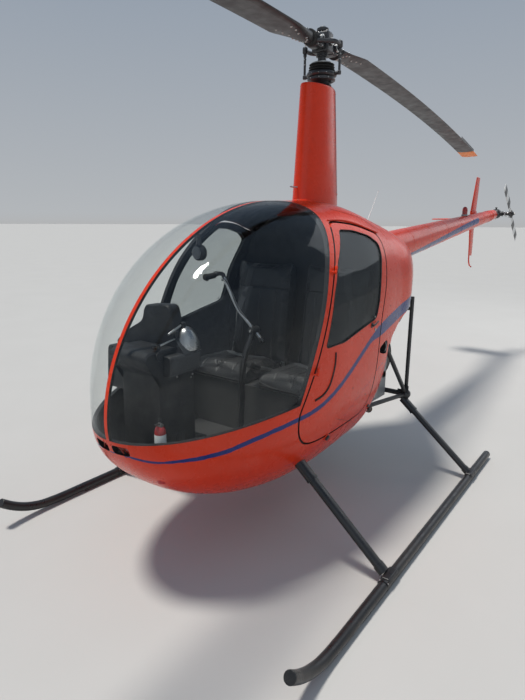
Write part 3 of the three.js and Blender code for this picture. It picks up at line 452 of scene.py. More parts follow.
def placePiece(name, mesh, body, stands=(), sharp=35, extra=None):
    # smooth faces, with sharp edges where they turn more than the given angle; extra is {attribute: values by point}
    mesh.polygons.foreach_set("use_smooth", np.ones(len(mesh.polygons), bool))
    if sharp:
        mesh.set_sharp_from_angle(angle=math.radians(sharp))
    for label, work in (extra or {}).items():
        values = work(setBack(meshPoints(mesh))).astype(np.float32)
        mesh.attributes.new(label, "FLOAT", "POINT").data.foreach_set("value", values)
    piece = bpy.data.objects.new(name, mesh)
    bpy.context.scene.collection.objects.link(piece)
    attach(piece, body)
    if stands:
        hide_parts(*([stands] if isinstance(stands, str) else stands))
    return piece


# finishes


class Finish:
    # a material and its node tree, with short ways to add the nodes that the finishes share
    def __init__(self, name, colour, rough=0.5, metal=0.0, **sockets):
        self.material = bpy.data.materials.new(name)
        self.material.use_nodes = True
        self.tree = self.material.node_tree
        self.shader = self.tree.nodes["Principled BSDF"]
        self.shader.inputs["Base Color"].default_value = (*colour, 1)
        self.shader.inputs["Roughness"].default_value = rough
        self.shader.inputs["Metallic"].default_value = metal
        for label, value in sockets.items():
            self.shader.inputs[label.replace("_", " ")].default_value = value
        self.place = self.tree.nodes.new("ShaderNodeTexCoord").outputs["Object"]

    def node(self, kind, **inputs):
        made = self.tree.nodes.new("ShaderNode" + kind)
        for label, value in inputs.items():
            socket = made.inputs[int(label[1:])] if label[0] == "i" and label[1:].isdigit() else made.inputs[label]
            if isinstance(value, bpy.types.NodeSocket):
                self.tree.links.new(value, socket)
            else:
                socket.default_value = value
        return made

    def noise(self, scale, detail=4, rough=0.55, stretch=None):
        place = self.place
        if stretch:
            place = self.node("Mapping", Vector=place, Scale=stretch).outputs[0]
        return self.node("TexNoise", Vector=place, Scale=scale, Detail=detail, Roughness=rough).outputs[0]

    def band(self, value, low, high, out=(0, 1)):
        made = self.node("MapRange", i0=value, i1=low, i2=high, i3=out[0], i4=out[1])
        return made.outputs[0]

    def math(self, how, a, b=0.0):
        made = self.tree.nodes.new("ShaderNodeMath")
        made.operation = how
        for socket, value in zip(made.inputs, (a, b)):
            if isinstance(value, bpy.types.NodeSocket):
                self.tree.links.new(value, socket)
            else:
                socket.default_value = value
        return made.outputs[0]

    def blend(self, share, a, b):
        made = self.tree.nodes.new("ShaderNodeMix")
        made.data_type = "RGBA"
        for socket, value in ((made.inputs[0], share), (made.inputs[6], a), (made.inputs[7], b)):
            if isinstance(value, bpy.types.NodeSocket):
                self.tree.links.new(value, socket)
            else:
                socket.default_value = value if isinstance(value, float) else (*value, 1)
        return made.outputs[2]

    def attribute(self, label):
        made = self.tree.nodes.new("ShaderNodeAttribute")
        made.attribute_name = label
        return made.outputs["Fac"]

    def paint(self, colour):
        self.tree.links.new(colour, self.shader.inputs["Base Color"])
        return self

    def gloss(self, value):
        self.tree.links.new(value, self.shader.inputs["Roughness"])
        return self

    def bump(self, height, strength, distance=0.001):
        made = self.node("Bump", Strength=strength, Distance=distance, Height=height)
        self.tree.links.new(made.outputs[0], self.shader.inputs["Normal"])
        return self


def worn(name, colour, rough, metal=0.0, grain=140.0, depth=0.12, spread=0.25, dirt=(0.05, 0.045, 0.04), dirtShare=0.35,
         roughSpread=0.12, stretch=None, **sockets):
    # one finish with cloudy colour variation, a little dirt in patches, uneven gloss and a fine grain
    f = Finish(name, colour, rough, metal, **sockets)
    cloud = f.noise(6.0, 5, 0.6)
    patch = f.band(f.noise(2.3, 6, 0.65), 0.52, 0.75, (0.0, dirtShare))
    lighter = tuple(min(1, c * (1 + spread)) for c in colour)
    darker = tuple(c * (1 - spread) for c in colour)
    f.paint(f.blend(patch, f.blend(cloud, darker, lighter), dirt))
    f.gloss(f.band(f.noise(17.0, 4, 0.6), 0.3, 0.7, (max(0.02, rough - roughSpread), min(1, rough + roughSpread))))
    f.bump(f.noise(grain, 3, 0.5, stretch), depth, 0.0006)
    return f.material


def bodyPaint(name, colour, shade, stripe=None):
    # two-pack gloss paint: deep colour with a clear coat, faint orange peel, dust and specks in patches, an optional
    # stripe
    f = Finish(name, colour, 0.3, 0.0, Coat_Weight=0.14, Coat_Roughness=0.05, Coat_IOR=1.5, Specular_IOR_Level=0.25)
    base = f.blend(f.band(f.noise(1.6, 5, 0.6), 0.3, 0.7), colour, shade)
    if stripe:
        inside = f.band(f.math("ABSOLUTE", f.attribute("stripe")), 0.96, 1.04, (1.0, 0.0))
        base = f.blend(inside, base, stripe)
    specks = f.band(f.noise(420.0, 2, 0.5), 0.68, 0.74, (0.0, 0.04))
    dust = f.band(f.noise(9.0, 8, 0.7), 0.5, 0.82, (0.0, 0.03))
    f.paint(f.blend(f.math("MAXIMUM", specks, dust), base, (0.36, 0.27, 0.22)))
    f.gloss(f.band(f.noise(11.0, 5, 0.6), 0.3, 0.75, (0.22, 0.34)))
    f.bump(f.noise(60.0, 2, 0.4), 0.03, 0.0006)
    return f.material


def acrylic(name, tint, passing, shine=0.04):
    # thin clear sheet: light passes straight through the tint, and a mirror coat on top by its viewing angle
    f = Finish(name, (0.80, 0.84, 0.88), shine, 1.0)
    f.gloss(f.band(f.noise(5.0, 6, 0.7), 0.35, 0.8, (shine, shine + 0.04)))
    f.bump(f.noise(3.0, 2, 0.4), 0.05, 0.004)
    dusty = f.band(f.noise(22.0, 3, 0.6), 0.55, 0.8, (0.0, 0.012))
    edge = f.node("LayerWeight", Blend=0.3).outputs["Facing"]
    share = f.math("ADD", f.math("MULTIPLY", f.math("POWER", edge, 3.0), 0.5), f.math("ADD", dusty, 1 - passing))
    clear = f.node("BsdfTransparent", Color=(*tint, 1))
    mix = f.node("MixShader", i0=share, i1=clear.outputs[0], i2=f.shader.outputs[0])
    out = f.tree.nodes["Material Output"]
    f.tree.links.new(mix.outputs[0], out.inputs["Surface"])
    return f.material


def lampGlass(name, colour, rough=0.08):
    f = Finish(name, colour, rough, 0.0, Transmission_Weight=0.55, IOR=1.5, Coat_Weight=0.4)
    wave = f.node("TexWave", Vector=f.place, Scale=60.0, Distortion=0.4).outputs[1]
    f.paint(f.blend(f.noise(25.0, 4), tuple(c * 0.6 for c in colour), colour))
    f.bump(wave, 0.35, 0.001)
    return f.material


def hide(name, colour):
    # stitched vinyl hide: fine pebble grain from two cell patterns, creases, worn sheen on the crowns
    f = Finish(name, colour, 0.5, 0.0, Specular_IOR_Level=0.42)
    cells = f.node("TexVoronoi", Vector=f.place, Scale=330.0, Randomness=1.0).outputs["Distance"]
    crease = f.noise(28.0, 7, 0.7)
    height = f.math("ADD", f.math("MULTIPLY", cells, 0.7), f.math("MULTIPLY", crease, 0.6))
    f.paint(f.blend(f.noise(12.0, 5, 0.6), colour, tuple(c * 2.2 + 0.004 for c in colour)))
    f.gloss(f.band(crease, 0.3, 0.7, (0.36, 0.62)))
    f.bump(height, 0.28, 0.0007)
    return f.material


def weave(name, colour, scale=240.0, rough=0.95):
    # short-pile carpet: fibre speckle over soft patches
    f = Finish(name, colour, rough, 0.0, Sheen_Weight=0.25, Sheen_Roughness=0.5)
    speck = f.noise(scale, 2, 0.6)
    f.paint(f.blend(speck, tuple(c * 0.7 for c in colour), tuple(c * 1.35 for c in colour)))
    f.bump(f.math("ADD", speck, f.noise(18.0, 4)), 0.3, 0.001)
    return f.material


def bladeFinish(name, colour, tip, lead):
    # matt paint marked out by two attributes: reach along the blade and share of the chord from the leading edge
    f = Finish(name, colour, 0.5, 0.0)
    reach, chord = f.attribute("reach"), f.attribute("chordShare")
    streaks = f.noise(7.0, 4, 0.5, (1.0, 0.3, 1.0))
    base = f.blend(streaks, tuple(c * 0.9 for c in colour), tuple(c * 1.12 for c in colour))
    base = f.blend(f.band(chord, 0.17, 0.178, (1.0, 0.0)), base, lead)
    base = f.blend(f.band(reach, tip[0], tip[0] + 1.0), base, tip[1])
    f.paint(base)
    f.gloss(f.band(f.noise(14.0, 5), 0.3, 0.7, (0.36, 0.6)))
    f.bump(f.noise(160.0, 3), 0.03, 0.0005)
    return f.material


def bandedFinish(name, dark, pale, bands):
    # alternate bands by reach from the hub
    f = Finish(name, pale, 0.38, 0.0, Coat_Weight=0.2)
    reach = f.attribute("reach")
    base = f.blend(f.noise(20.0, 5), tuple(c * 0.86 for c in pale), pale)
    for low, high in bands:
        inside = f.math("MULTIPLY", f.band(reach, low - 0.5, low + 0.5),
                        f.band(reach, high - 0.5, high + 0.5, (1.0, 0.0)))
        base = f.blend(inside, base, dark)
    f.paint(base)
    f.gloss(f.band(f.noise(16.0, 5), 0.3, 0.7, (0.3, 0.5)))
    f.bump(f.noise(120.0, 3), 0.06, 0.0006)
    return f.material


red, deepRed, blue = (0.69, 0.040, 0.007), (0.60, 0.030, 0.005), (0.006, 0.022, 0.15)
stripedRed = bodyPaint("stripedRedPaint", red, deepRed, blue)
plainRed = bodyPaint("redPaint", red, deepRed)
clearSheet = acrylic("clearAcrylic", (0.955, 0.965, 0.962), 0.982)
tintedSheet = acrylic("tintedAcrylic", (0.70, 0.73, 0.73), 0.978)
gearBlack = worn("blackEnamel", (0.012, 0.012, 0.013), 0.34, spread=0.35, dirt=(0.10, 0.085, 0.07), dirtShare=0.22)
shoeSteel = worn("wornShoeSteel", (0.10, 0.095, 0.09), 0.55, 0.7, spread=0.3, dirtShare=0.5)
frameBlack = worn("frameEnamel", (0.030, 0.031, 0.033), 0.4, spread=0.3, dirt=(0.07, 0.055, 0.04), dirtShare=0.4)
headSteel = worn("oiledHeadSteel", (0.055, 0.056, 0.060), 0.42, 0.6, spread=0.35, dirt=(0.02, 0.017, 0.012),
                 dirtShare=0.6)
boltSteel = worn("boltSteel", (0.42, 0.42, 0.41), 0.32, 0.95, grain=300.0, spread=0.15)
alloy = worn("bareAlloy", (0.46, 0.47, 0.48), 0.36, 0.9, spread=0.14, dirt=(0.14, 0.13, 0.12), dirtShare=0.35)
castAlloy = worn("castAlloy", (0.30, 0.30, 0.30), 0.6, 0.55, grain=260.0, depth=0.35, spread=0.2,
                 dirt=(0.05, 0.04, 0.03), dirtShare=0.5)
greyPaint = worn("greyEnamel", (0.23, 0.24, 0.25), 0.45, spread=0.15, dirt=(0.06, 0.05, 0.04), dirtShare=0.3)
rubber = worn("blackRubber", (0.014, 0.014, 0.014), 0.75, grain=240.0, depth=0.2, spread=0.4, dirtShare=0.2)
exhaust = worn("heatedSteel", (0.16, 0.12, 0.095), 0.5, 0.8, spread=0.45, dirt=(0.28, 0.12, 0.05), dirtShare=0.45)
trim = worn("cabinTrim", (0.014, 0.014, 0.015), 0.8, grain=170.0, depth=0.15, spread=0.25, dirtShare=0.15)
crackle = worn("cracklePanel", (0.007, 0.007, 0.008), 0.6, grain=240.0, depth=0.25, spread=0.3, dirtShare=0.1)
bottleRed = worn("bottleEnamel", (0.42, 0.010, 0.012), 0.25, spread=0.2, dirtShare=0.1, Coat_Weight=0.3)
whiteSleeve = worn("whiteSleeve", (0.74, 0.74, 0.72), 0.4, spread=0.05, dirt=(0.4, 0.38, 0.34), dirtShare=0.2)
# darker copy of the body red: painted shade for the inside of the landing lamp openings
lampShadeRed = worn("lampRecessPaintedShade", (0.30, 0.030, 0.014), 0.45, spread=0.2)
lampRed = lampGlass("redLampGlass", (0.46, 0.016, 0.012))
spunAlloy = worn("spunAlloy", (0.34, 0.34, 0.34), 0.3, 1.0, grain=900.0, spread=0.1, dirtShare=0.1,
                 stretch=(0.05, 0.05, 1.0))
darkLens = worn("darkBlueLens", (0.012, 0.022, 0.035), 0.08, spread=0.2, dirtShare=0.05, Coat_Weight=0.6)
seatHide = hide("blackHide", (0.014, 0.014, 0.015))
carpet = weave("charcoalCarpet", (0.022, 0.021, 0.020))
webbing = weave("beltWebbing", (0.045, 0.045, 0.048), 400.0, 0.8)
bladeGrey = bladeFinish("bladePaint", (0.036, 0.037, 0.040), (3580.0, (0.78, 0.22, 0.03)), (0.018, 0.018, 0.020))
tailBands = bandedFinish("tailBladePaint", (0.016, 0.016, 0.018), (0.66, 0.66, 0.64), [(150, 270), (390, 500)])


def concrete():
    # pale studio floor with the faintest cloud and grain
    f = Finish("paleFloor", (0.43, 0.42, 0.405), 0.85)
    f.paint(f.blend(f.noise(1.2, 6, 0.6), (0.485, 0.475, 0.455), (0.53, 0.52, 0.50)))
    f.bump(f.noise(60.0, 4), 0.06, 0.002)
    return f.material


floorSheet = bpy.data.meshes.new("studioFloor")
floorSheet.from_pydata([(-300, -300, 0), (300, -300, 0), (300, 300, 0), (-300, 300, 0)], [], [(0, 1, 2, 3)])
floorSheet.materials.append(concrete())
floorPiece = bpy.data.objects.new("studioFloor", floorSheet)
bpy.context.scene.collection.objects.link(floorPiece)
print("finishes made")

# cabin and cowl
hull = dict(noseY=-1645, noseZ=813, roofZ=1752, roofY=-481, roofPower=1.88, bellyZ=283, bellyY=-735, bellyPower=2.0,
            halfWidth=559, wideY=-620, planPower=1.97, upperPower=2.7, lowerPower=2.6, aftY=950,
            roofAft=[(-481, 1752), (-200, 1757), (100, 1695), (400, 1615), (700, 1587), (950, 1572)],
            widthAft=[(-620, 1), (-200, 0.994), (100, 0.953), (300, 0.93), (600, 0.69), (950, 0.27)],
            widest=[(-1645, 813), (-1000, 936), (-500, 989), (300, 1263), (950, 1430)],
            bellyAft=[(-735, 283), (-300, 292), (-60, 330), (200, 700), (950, 1000)],
            wall=22, glass=5, cowlSkin=6, stripHalf=10, seam=0.6, doorSeam=10)
lines = dict(
    sill=[(-1760, 741), (-1553, 757), (-1317, 786), (-1172, 804), (-972, 827)],
    post=[(-972, 827), (-942, 905), (-870, 1081), (-771, 1303), (-718, 1415), (-645, 1530), (-585, 1620), (-545, 1692),
          (-535, 1775)],
    doorFront=[(-850, 592), (-925, 625), (-965, 690), (-974, 770), (-952, 823), (-876, 978), (-765, 1240), (-700, 1372),
               (-612, 1512), (-545, 1610), (-515, 1642)],
    doorTop=[(-416, 1641), (-293, 1626), (-191, 1600), (-85, 1577)],
    doorAft=[(-92, 1480), (-150, 1300), (-205, 1150), (-225, 1000), (-228, 680), (-258, 612), (-320, 590)],
    window=[(-804, 1065), (-762, 1173), (-709, 1307), (-632, 1440), (-479, 1605), (-359, 1601), (-224, 1574),
            (-142, 1530), (-153, 1467), (-212, 1337), (-241, 1233), (-276, 1150), (-300, 1135), (-454, 1107),
            (-637, 1070)],
    tubTop=[(-972, 827), (-900, 840), (-228, 950), (60, 950)],
    skinAft=[(-64, 764), (-68, 690), (-68, 150)],
    cowlFoot=[(-200, 900), (-10, 985), (151, 1085), (470, 1180), (1000, 1300)],
    duct=[(-208, 933), (-150, 915), (-112, 908), (-90, 919), (-81, 948), (-90, 977), (-112, 988), (-150, 981),
          (-208, 960)],
    lamp=[(12, 698), (20, 690), (96, 693), (104, 701), (104, 727), (96, 735), (20, 733), (12, 725)],
    stripe=[(-1612, 692), (-1569, 677), (-1488, 679), (-1353, 693), (-1218, 724), (-1028, 753), (-829, 785),
            (-656, 855), (-484, 948), (-338, 1028), (-142, 1080), (86, 1122), (295, 1164), (620, 1228), (960, 1318),
            (2100, 1500), (3380, 1640)],
    stripeHalf=[(-1620, 5), (-1400, 11), (-1000, 12), (-600, 14), (-330, 17), (-250, 30), (-142, 36), (86, 38),
                (400, 38), (960, 30)],
)


def smoothRows(rows, at):
    # cubic through the rows, with neighbour slopes, level past both ends
    rows = np.asarray(rows, float)
    x, v = rows[:, 0], rows[:, 1]
    slope = np.zeros_like(v)
    slope[1:-1] = (v[2:] - v[:-2]) / (x[2:] - x[:-2])
    slope[-1] = (v[-1] - v[-2]) / (x[-1] - x[-2])
    at = np.clip(at, x[0], x[-1])
    k = np.clip(np.searchsorted(x, at, side="right") - 1, 0, len(x) - 2)
    step = x[k + 1] - x[k]
    t = (at - x[k]) / step
    return cubicAlong(k, t, step, v, slope)


def swell(share, power):
    # superellipse quarter: (1 - share^power)^(1/power)
    return (1 - np.clip(share, 0, 1) ** power) ** (1 / power)


def hullSection(y, inset=0.0):
    # half width, roof, belly and widest level at a station, each grown from the nose by a superellipse quarter
    h = hull
    y = np.asarray(y, float)
    nose = h["noseY"] + inset
    def front(start, power):
        return swell((start - y) / (start - nose), power)
    roof = np.where(y < h["roofY"], h["noseZ"] + (h["roofZ"] - inset - h["noseZ"]) * front(h["roofY"], h["roofPower"]),
                    smoothRows(h["roofAft"], y) - inset)
    belly = np.where(y < h["bellyY"],
                     h["noseZ"] - (h["noseZ"] - h["bellyZ"] - inset) * front(h["bellyY"], h["bellyPower"]),
                     smoothRows(h["bellyAft"], y) + inset)
    width = np.where(y < h["wideY"], (h["halfWidth"] - inset) * front(h["wideY"], h["planPower"]),
                     h["halfWidth"] * smoothRows(h["widthAft"], y) - inset)
    level = np.minimum(np.maximum(smoothRows(h["widest"], y), belly + 1), roof - 1)
    return width, roof, belly, level


def hullPoint(y, turn, inset=0.0):
    # superellipse section: x = width cos^(2/p), z = level + height sin^(2/p), with its own power above and below
    width, roof, belly, level = hullSection(y, inset)
    c, s = np.cos(turn), np.sin(turn)
    power = np.where(s < 0, hull["lowerPower"], hull["upperPower"])
    x = width * np.sign(c) * np.abs(c) ** (2 / power)
    rise = np.sign(s) * np.abs(s) ** (2 / power)
    z = level + rise * np.where(rise < 0, level - belly, roof - level)
    return np.stack([x, y + 0 * x, z], -1)


def hullSide(y, z, inset=0.0):
    # half width of the section at a height
    width, roof, belly, level = hullSection(y, inset)
    upper = z > level
    power = np.where(upper, hull["upperPower"], hull["lowerPower"])
    share = np.abs(z - level) / np.where(upper, roof - level, level - belly)
    return width * (1 - np.clip(share, 0, 1) ** power) ** (1 / power)


def hullNormal(p, inset=0.0):
    # slope of |x/width|^power + |(z - level)/height|^power, taken by small steps along each axis
    def value(x, y, z):
        width, roof, belly, level = hullSection(y, inset)
        upper = z > level
        power = np.where(upper, hull["upperPower"], hull["lowerPower"])
        height = np.where(upper, roof - level, level - belly)
        return (np.abs(x) / np.maximum(width, 1)) ** power + (np.abs(z - level) / np.maximum(height, 1)) ** power
    x, y, z = p[:, 0], np.clip(p[:, 1], hull["noseY"] + inset + 0.6, None), p[:, 2]
    slopes = [value(x + (a == 0) * 0.5, y + (a == 1) * 0.5, z + (a == 2) * 0.5)
              - value(x - (a == 0) * 0.5, y - (a == 1) * 0.5, z - (a == 2) * 0.5) for a in range(3)]
    return unit(np.stack(slopes, -1))


def onHull(y, z, out=0.0, side=1):
    # port (or starboard) skin point at a station and height, moved out along the skin's normal
    y, z = np.asarray(y, float), np.asarray(z, float)
    p = np.stack([hullSide(y, z), y, z], -1).reshape(-1, 3)
    p = p + hullNormal(p) * out
    return p * (side, 1, 1)


def hullBand(fromY, toY, outer, inner, rows, cols, fromTurn=None, toTurn=None):
    # closed wall between two insets of the hull: stations by turns, joined at its rims; a full ring or a side of it
    nose = hull["noseY"]
    ring = fromTurn is None
    share = np.linspace(0, 1, rows)
    atNose = fromY <= nose
    turn = np.linspace(0, 2 * math.pi, cols, endpoint=False) if ring else np.linspace(fromTurn, toTurn, cols)
    sheets = []
    for inset in (outer, inner):
        if atNose:
            start = nose + inset
            bend = min(toY, hull["roofY"])
            y = start + (bend - start) * np.maximum(share, 0.012) ** 1.8 if toY <= hull["roofY"] else np.r_[
                start + (bend - start) * np.linspace(0.015, 1, rows * 2 // 3) ** 1.8,
                np.linspace(bend, toY, rows - rows * 2 // 3 + 1)[1:]]
        else:
            y = fromY + (toY - fromY) * share
        sheets.append(hullPoint(y[:, None], turn[None, :], inset))
    r, c = sheets[0].shape[:2]
    points = np.vstack([sheets[0].reshape(-1, 3), sheets[1].reshape(-1, 3)])
    n = r * c
    faces = gridFaces(r, c, closeCols=ring)
    faces += [[i + n for i in face[::-1]] for face in gridFaces(r, c, closeCols=ring)]
    one = np.arange(c if ring else c - 1)
    nxt = (one + 1) % c
    last = (r - 1) * c
    faces += np.stack([last + one, last + nxt, n + last + nxt, n + last + one], -1).tolist()
    if atNose:
        points = np.vstack([points, [(0, nose + outer, hull["noseZ"]), (0, nose + inner, hull["noseZ"])]])
        faces += np.stack([nxt, one, np.full(len(one), 2 * n)], -1).tolist()
        faces += np.stack([n + one, n + nxt, np.full(len(one), 2 * n + 1)], -1).tolist()
    else:
        faces += np.stack([nxt, one, n + one, n + nxt], -1).tolist()
    if not ring:
        k = np.arange(r - 1)
        faces += np.stack([k * c, (k + 1) * c, n + (k + 1) * c, n + k * c], -1).tolist()
        k = k * c + c - 1
        faces += np.stack([k + c, k, n + k, n + k + c], -1).tolist()
    return points, faces


def acrossPrism(outline, fromX=-720, toX=720):
    # an outline seen from the side, as [y, z], carried straight across
    outline = np.asarray(outline, float)
    n = len(outline)
    points = np.vstack([np.c_[np.full(n, x), outline] for x in (fromX, toX)])
    one = np.arange(n)
    nxt = (one + 1) % n
    faces = [one[::-1].tolist(), (one + n).tolist()] + np.stack([one, nxt, nxt + n, one + n], -1).tolist()
    return points, faces


def alongPrism(outline, fromY, toY):
    # an outline seen from the front, as [x, z], carried straight along
    points, faces = acrossPrism(outline, fromY, toY)
    return points[:, [1, 0, 2]], faces


def plainMesh(name, part):
    mesh = bpy.data.meshes.new(name)
    mesh.from_pydata(setOut(part[0]).tolist(), [], part[1])
    grid = bmesh.new()
    grid.from_mesh(mesh)
    bmesh.ops.recalc_face_normals(grid, faces=grid.faces)
    grid.to_mesh(mesh)
    grid.free()
    made = bpy.data.objects.new(name, mesh)
    bpy.context.scene.collection.objects.link(made)
    return made


def cutPanel(name, band, steps):
    # the wall cut by prisms: each step is an operation and an outline part; gives a new mesh
    base = plainMesh(name + "Wall", band)
    tools = []
    for how, part in steps:
        tools.append(plainMesh(name + "Cutter", part))
        change = base.modifiers.new("cut", "BOOLEAN")
        change.operation, change.object, change.solver = how, tools[-1], "EXACT"
    mesh = evaluatedMesh(base)
    dropObjects([base] + tools)
    mesh.name = name
    return mesh


def mirroredMesh(mesh, name):
    twin = mesh.copy()
    twin.name = name
    twin.transform(Matrix.Scale(-1, 4, (1, 0, 0)))
    twin.flip_normals()
    return twin


def finishPanel(name, mesh, outside, inside, body, stands, outer, stripe=True):
    # outer faces take the paint, inner faces and rims the lining; skin normals come from the hull's own formula
    count = len(mesh.polygons)
    centre, facing = np.zeros(count * 3), np.zeros(count * 3)
    mesh.polygons.foreach_get("center", centre)
    mesh.polygons.foreach_get("normal", facing)
    facing = facing.reshape(-1, 3)
    middle = setBack(centre.reshape(-1, 3))
    dot = np.sum(facing * hullNormal(middle, outer), axis=1)
    mesh.materials.clear()
    mesh.materials.append(outside)
    mesh.materials.append(inside)
    mesh.polygons.foreach_set("material_index", (dot < 0.5).astype(np.int32))
    extra = {"stripe": stripeOffset} if stripe else None
    placePiece(name, mesh, body, stands, 35, extra)
    corners = len(mesh.loops)
    vertex, own = np.zeros(corners, np.int32), np.zeros(corners * 3, np.float32)
    mesh.loops.foreach_get("vertex_index", vertex)
    mesh.corner_normals.foreach_get("vector", own)
    own = own.reshape(-1, 3)
    place = setBack(meshPoints(mesh))
    skin = hullNormal(place, outer)[vertex]
    total = np.zeros(count, np.int32)
    mesh.polygons.foreach_get("loop_total", total)
    lie = np.repeat(dot, total)
    away = np.linalg.norm(place[:, [0, 2]] - (0, hull["noseZ"]), axis=1)[vertex] > 12
    better = np.where(((lie > 0.9) & away)[:, None], skin, own)
    mesh.normals_split_custom_set(better.tolist())


def stripeOffset(p):
    # side-view offset from the stripe's middle line, in half widths, growing past 1 ahead of its first point
    line = curveThrough(np.array(lines["stripe"]), 500)
    out = np.full(len(p), 20.0)
    middle = np.interp(p[:, 1], line[:, 0], line[:, 1])
    near = np.abs(p[:, 2] - middle) < 260
    flat = p[near][:, 1:]
    gap = np.sqrt(((flat[:, None] - line[None]) ** 2).sum(-1)).min(1)
    signed = np.sign(flat[:, 1] - middle[near]) * gap / smoothRows(lines["stripeHalf"], flat[:, 0])
    ahead = np.maximum(1 + (lines["stripe"][0][0] - flat[:, 0]) / 12, 0)
    out[near] = np.where(ahead > np.abs(signed), np.where(signed < 0, -ahead, ahead), signed)
    return out


doorLoop = softened(lines["doorFront"] + lines["doorTop"] + lines["doorAft"], 70, 7)
windowLoop = softened(lines["window"], 26, 5)
outSeam, inSeam = offsetLoop(doorLoop, hull["doorSeam"] / 2), offsetLoop(doorLoop, -hull["doorSeam"] / 2)
windowHole = acrossPrism(windowLoop, 150, 720)
windowFill = acrossPrism(offsetLoop(windowLoop, -hull["seam"]), 150, 720)
doorHole, doorFill = acrossPrism(outSeam, 150, 720), acrossPrism(inSeam, 150, 720)
ductCut = acrossPrism(softened(lines["duct"], 12, 4), 400, 720)
lampCut = alongPrism(softened(lines["lamp"], 8, 4), -1700, -1550)


def shiftLine(line, by):
    # an open line moved to its left
    line = np.asarray(line, float)
    run = unit(np.gradient(line, axis=0))
    return line + np.stack([-run[:, 1], run[:, 0]], -1) * by


half = hull["seam"] / 2
sillLine = softened(lines["sill"], 90, 5, closed=False)
postLine = softened(lines["post"], 60, 5, closed=False)
tubTop = softened(lines["tubTop"], 20, 3, closed=False)
tubOutline = np.vstack([[(-1760, 150)], shiftLine(sillLine, -half), shiftLine(tubTop, -half)[1:], lines["skinAft"]])
tub = cutPanel("cabinTub", hullBand(-1645, -58, 0, hull["wall"], 84, 120), [
    ("INTERSECT", acrossPrism(tubOutline)), ("DIFFERENCE", joined([doorHole, flipped(doorHole)])),
    ("DIFFERENCE", joined([ductCut, flipped(ductCut), lampCut, flipped(lampCut)]))])
finishPanel("cabinTub", tub, stripedRed, trim, "airframe", "cabin_tub", 0)

roofOutline = np.vstack([shiftLine(postLine, -half),
                         [(-535, 1900), (30, 1900), (30, 1018), (-10, 985), (-24, 950 + half)],
                         shiftLine(tubTop, half)[::-1][1:-1]])
roofOutline = roofOutline[roofOutline[:, 0] < 31]
mastHole = rod((0, 0, 1400), (0, 0, 1950), 60, 40)
roof = cutPanel("cabinRoofFrame", hullBand(-985, 40, 0, hull["wall"], 70, 128), [
    ("INTERSECT", acrossPrism(roofOutline)), ("DIFFERENCE", joined([doorHole, flipped(doorHole)])),
    ("DIFFERENCE", joined([ductCut, flipped(ductCut), mastHole]))])
finishPanel("cabinRoofFrame", roof, stripedRed, trim, "airframe", "cabin_roof_frame", 0)

glazedOutline = np.vstack([shiftLine(sillLine, half)[:-1], shiftLine(postLine, half)[1:],
                           [(-535, 1900), (-1760, 1900)]])
glazed = acrossPrism(glazedOutline, hull["stripHalf"] + hull["seam"], 720)
shield = cutPanel("windshieldLeft", hullBand(-1645, -520, 0, hull["glass"], 70, 128), [("INTERSECT", glazed)])
shieldTwin = mirroredMesh(shield, "windshieldRight")
for side, sheet in (("left", shield), ("right", shieldTwin)):
    finishPanel("windshield" + side.title(), sheet, clearSheet, clearSheet, "airframe", "windshield_" + side,
                0, False)
strip = cutPanel("windshieldStrip", hullBand(-1645, -520, 0, 14, 70, 240), [
    ("INTERSECT", acrossPrism(glazedOutline, -hull["stripHalf"], hull["stripHalf"]))])
finishPanel("windshieldStrip", strip, plainRed, rubber, "airframe", "windshield_strip", 0, False)

portTurns = (-1.25, 1.42)
door = cutPanel("doorLeft", hullBand(-1000, -70, 0, hull["wall"], 66, 76, *portTurns), [
    ("INTERSECT", doorFill), ("DIFFERENCE", windowHole)])
doorTwin = mirroredMesh(door, "doorRight")
pane = cutPanel("doorWindowLeft", hullBand(-900, -100, 5, 10, 60, 60, -0.2, 1.42), [("INTERSECT", windowFill)])
paneTwin = mirroredMesh(pane, "doorWindowRight")
for side, leaf, sheet in (("left", door, pane), ("right", doorTwin, paneTwin)):
    finishPanel("door" + side.title(), leaf, stripedRed, trim, "door_" + side, "door_" + side, 0)
    finishPanel("doorWindow" + side.title(), sheet, tintedSheet, tintedSheet, "door_" + side, "door_window_" + side,
                5, False)

cowlOutline = np.vstack([softened(lines["cowlFoot"], 90, 5, closed=False), [(1000, 2000), (-200, 2000)]])
cowl = cutPanel("aftCowl", hullBand(30.6, 950, 0, hull["cowlSkin"], 56, 112), [
    ("INTERSECT", acrossPrism(cowlOutline)), ("DIFFERENCE", mastHole)])
finishPanel("aftCowl", cowl, stripedRed, trim, "airframe", "aft_cowl", 0)
print("cabin and cowl panels cut")

# mast fairing, tail boom and tail surfaces
mast = dict(fairing=[(1600, 460, 190), (1800, 455, 186), (2100, 395, 168), (2392, 336, 151), (2399, 330, 146)],
            radius=24)


def teardrop(z, chord, thick, sides=56):
    # blunt in front and fine behind: x = half thickness sin(t) (1 - 0.38 a^1.5), y = half chord a, a = -cos(t)
    turn = turns(sides)
    along = -np.cos(turn)
    taper = 1 - 0.38 * np.maximum(along, 0) ** 1.5
    return np.stack([thick / 2 * np.sin(turn) * taper, chord / 2 * along + chord * 0.06 - 40, np.full(sides, z)], -1)


def fairingRing(z, grow=0.0):
    chord = np.interp(z, [r[0] for r in mast["fairing"]], [r[1] for r in mast["fairing"]])
    thick = np.interp(z, [r[0] for r in mast["fairing"]], [r[2] for r in mast["fairing"]])
    return teardrop(z, chord + 2 * grow, thick + 2 * grow)


def roofZ(x, y):
    # height of the skin over a point of the plan
    width, roof, belly, level = hullSection(y)
    share = np.clip(np.abs(x) / width, 0, 1)
    return level + (roof - level) * (1 - share ** hull["upperPower"]) ** (1 / hull["upperPower"])


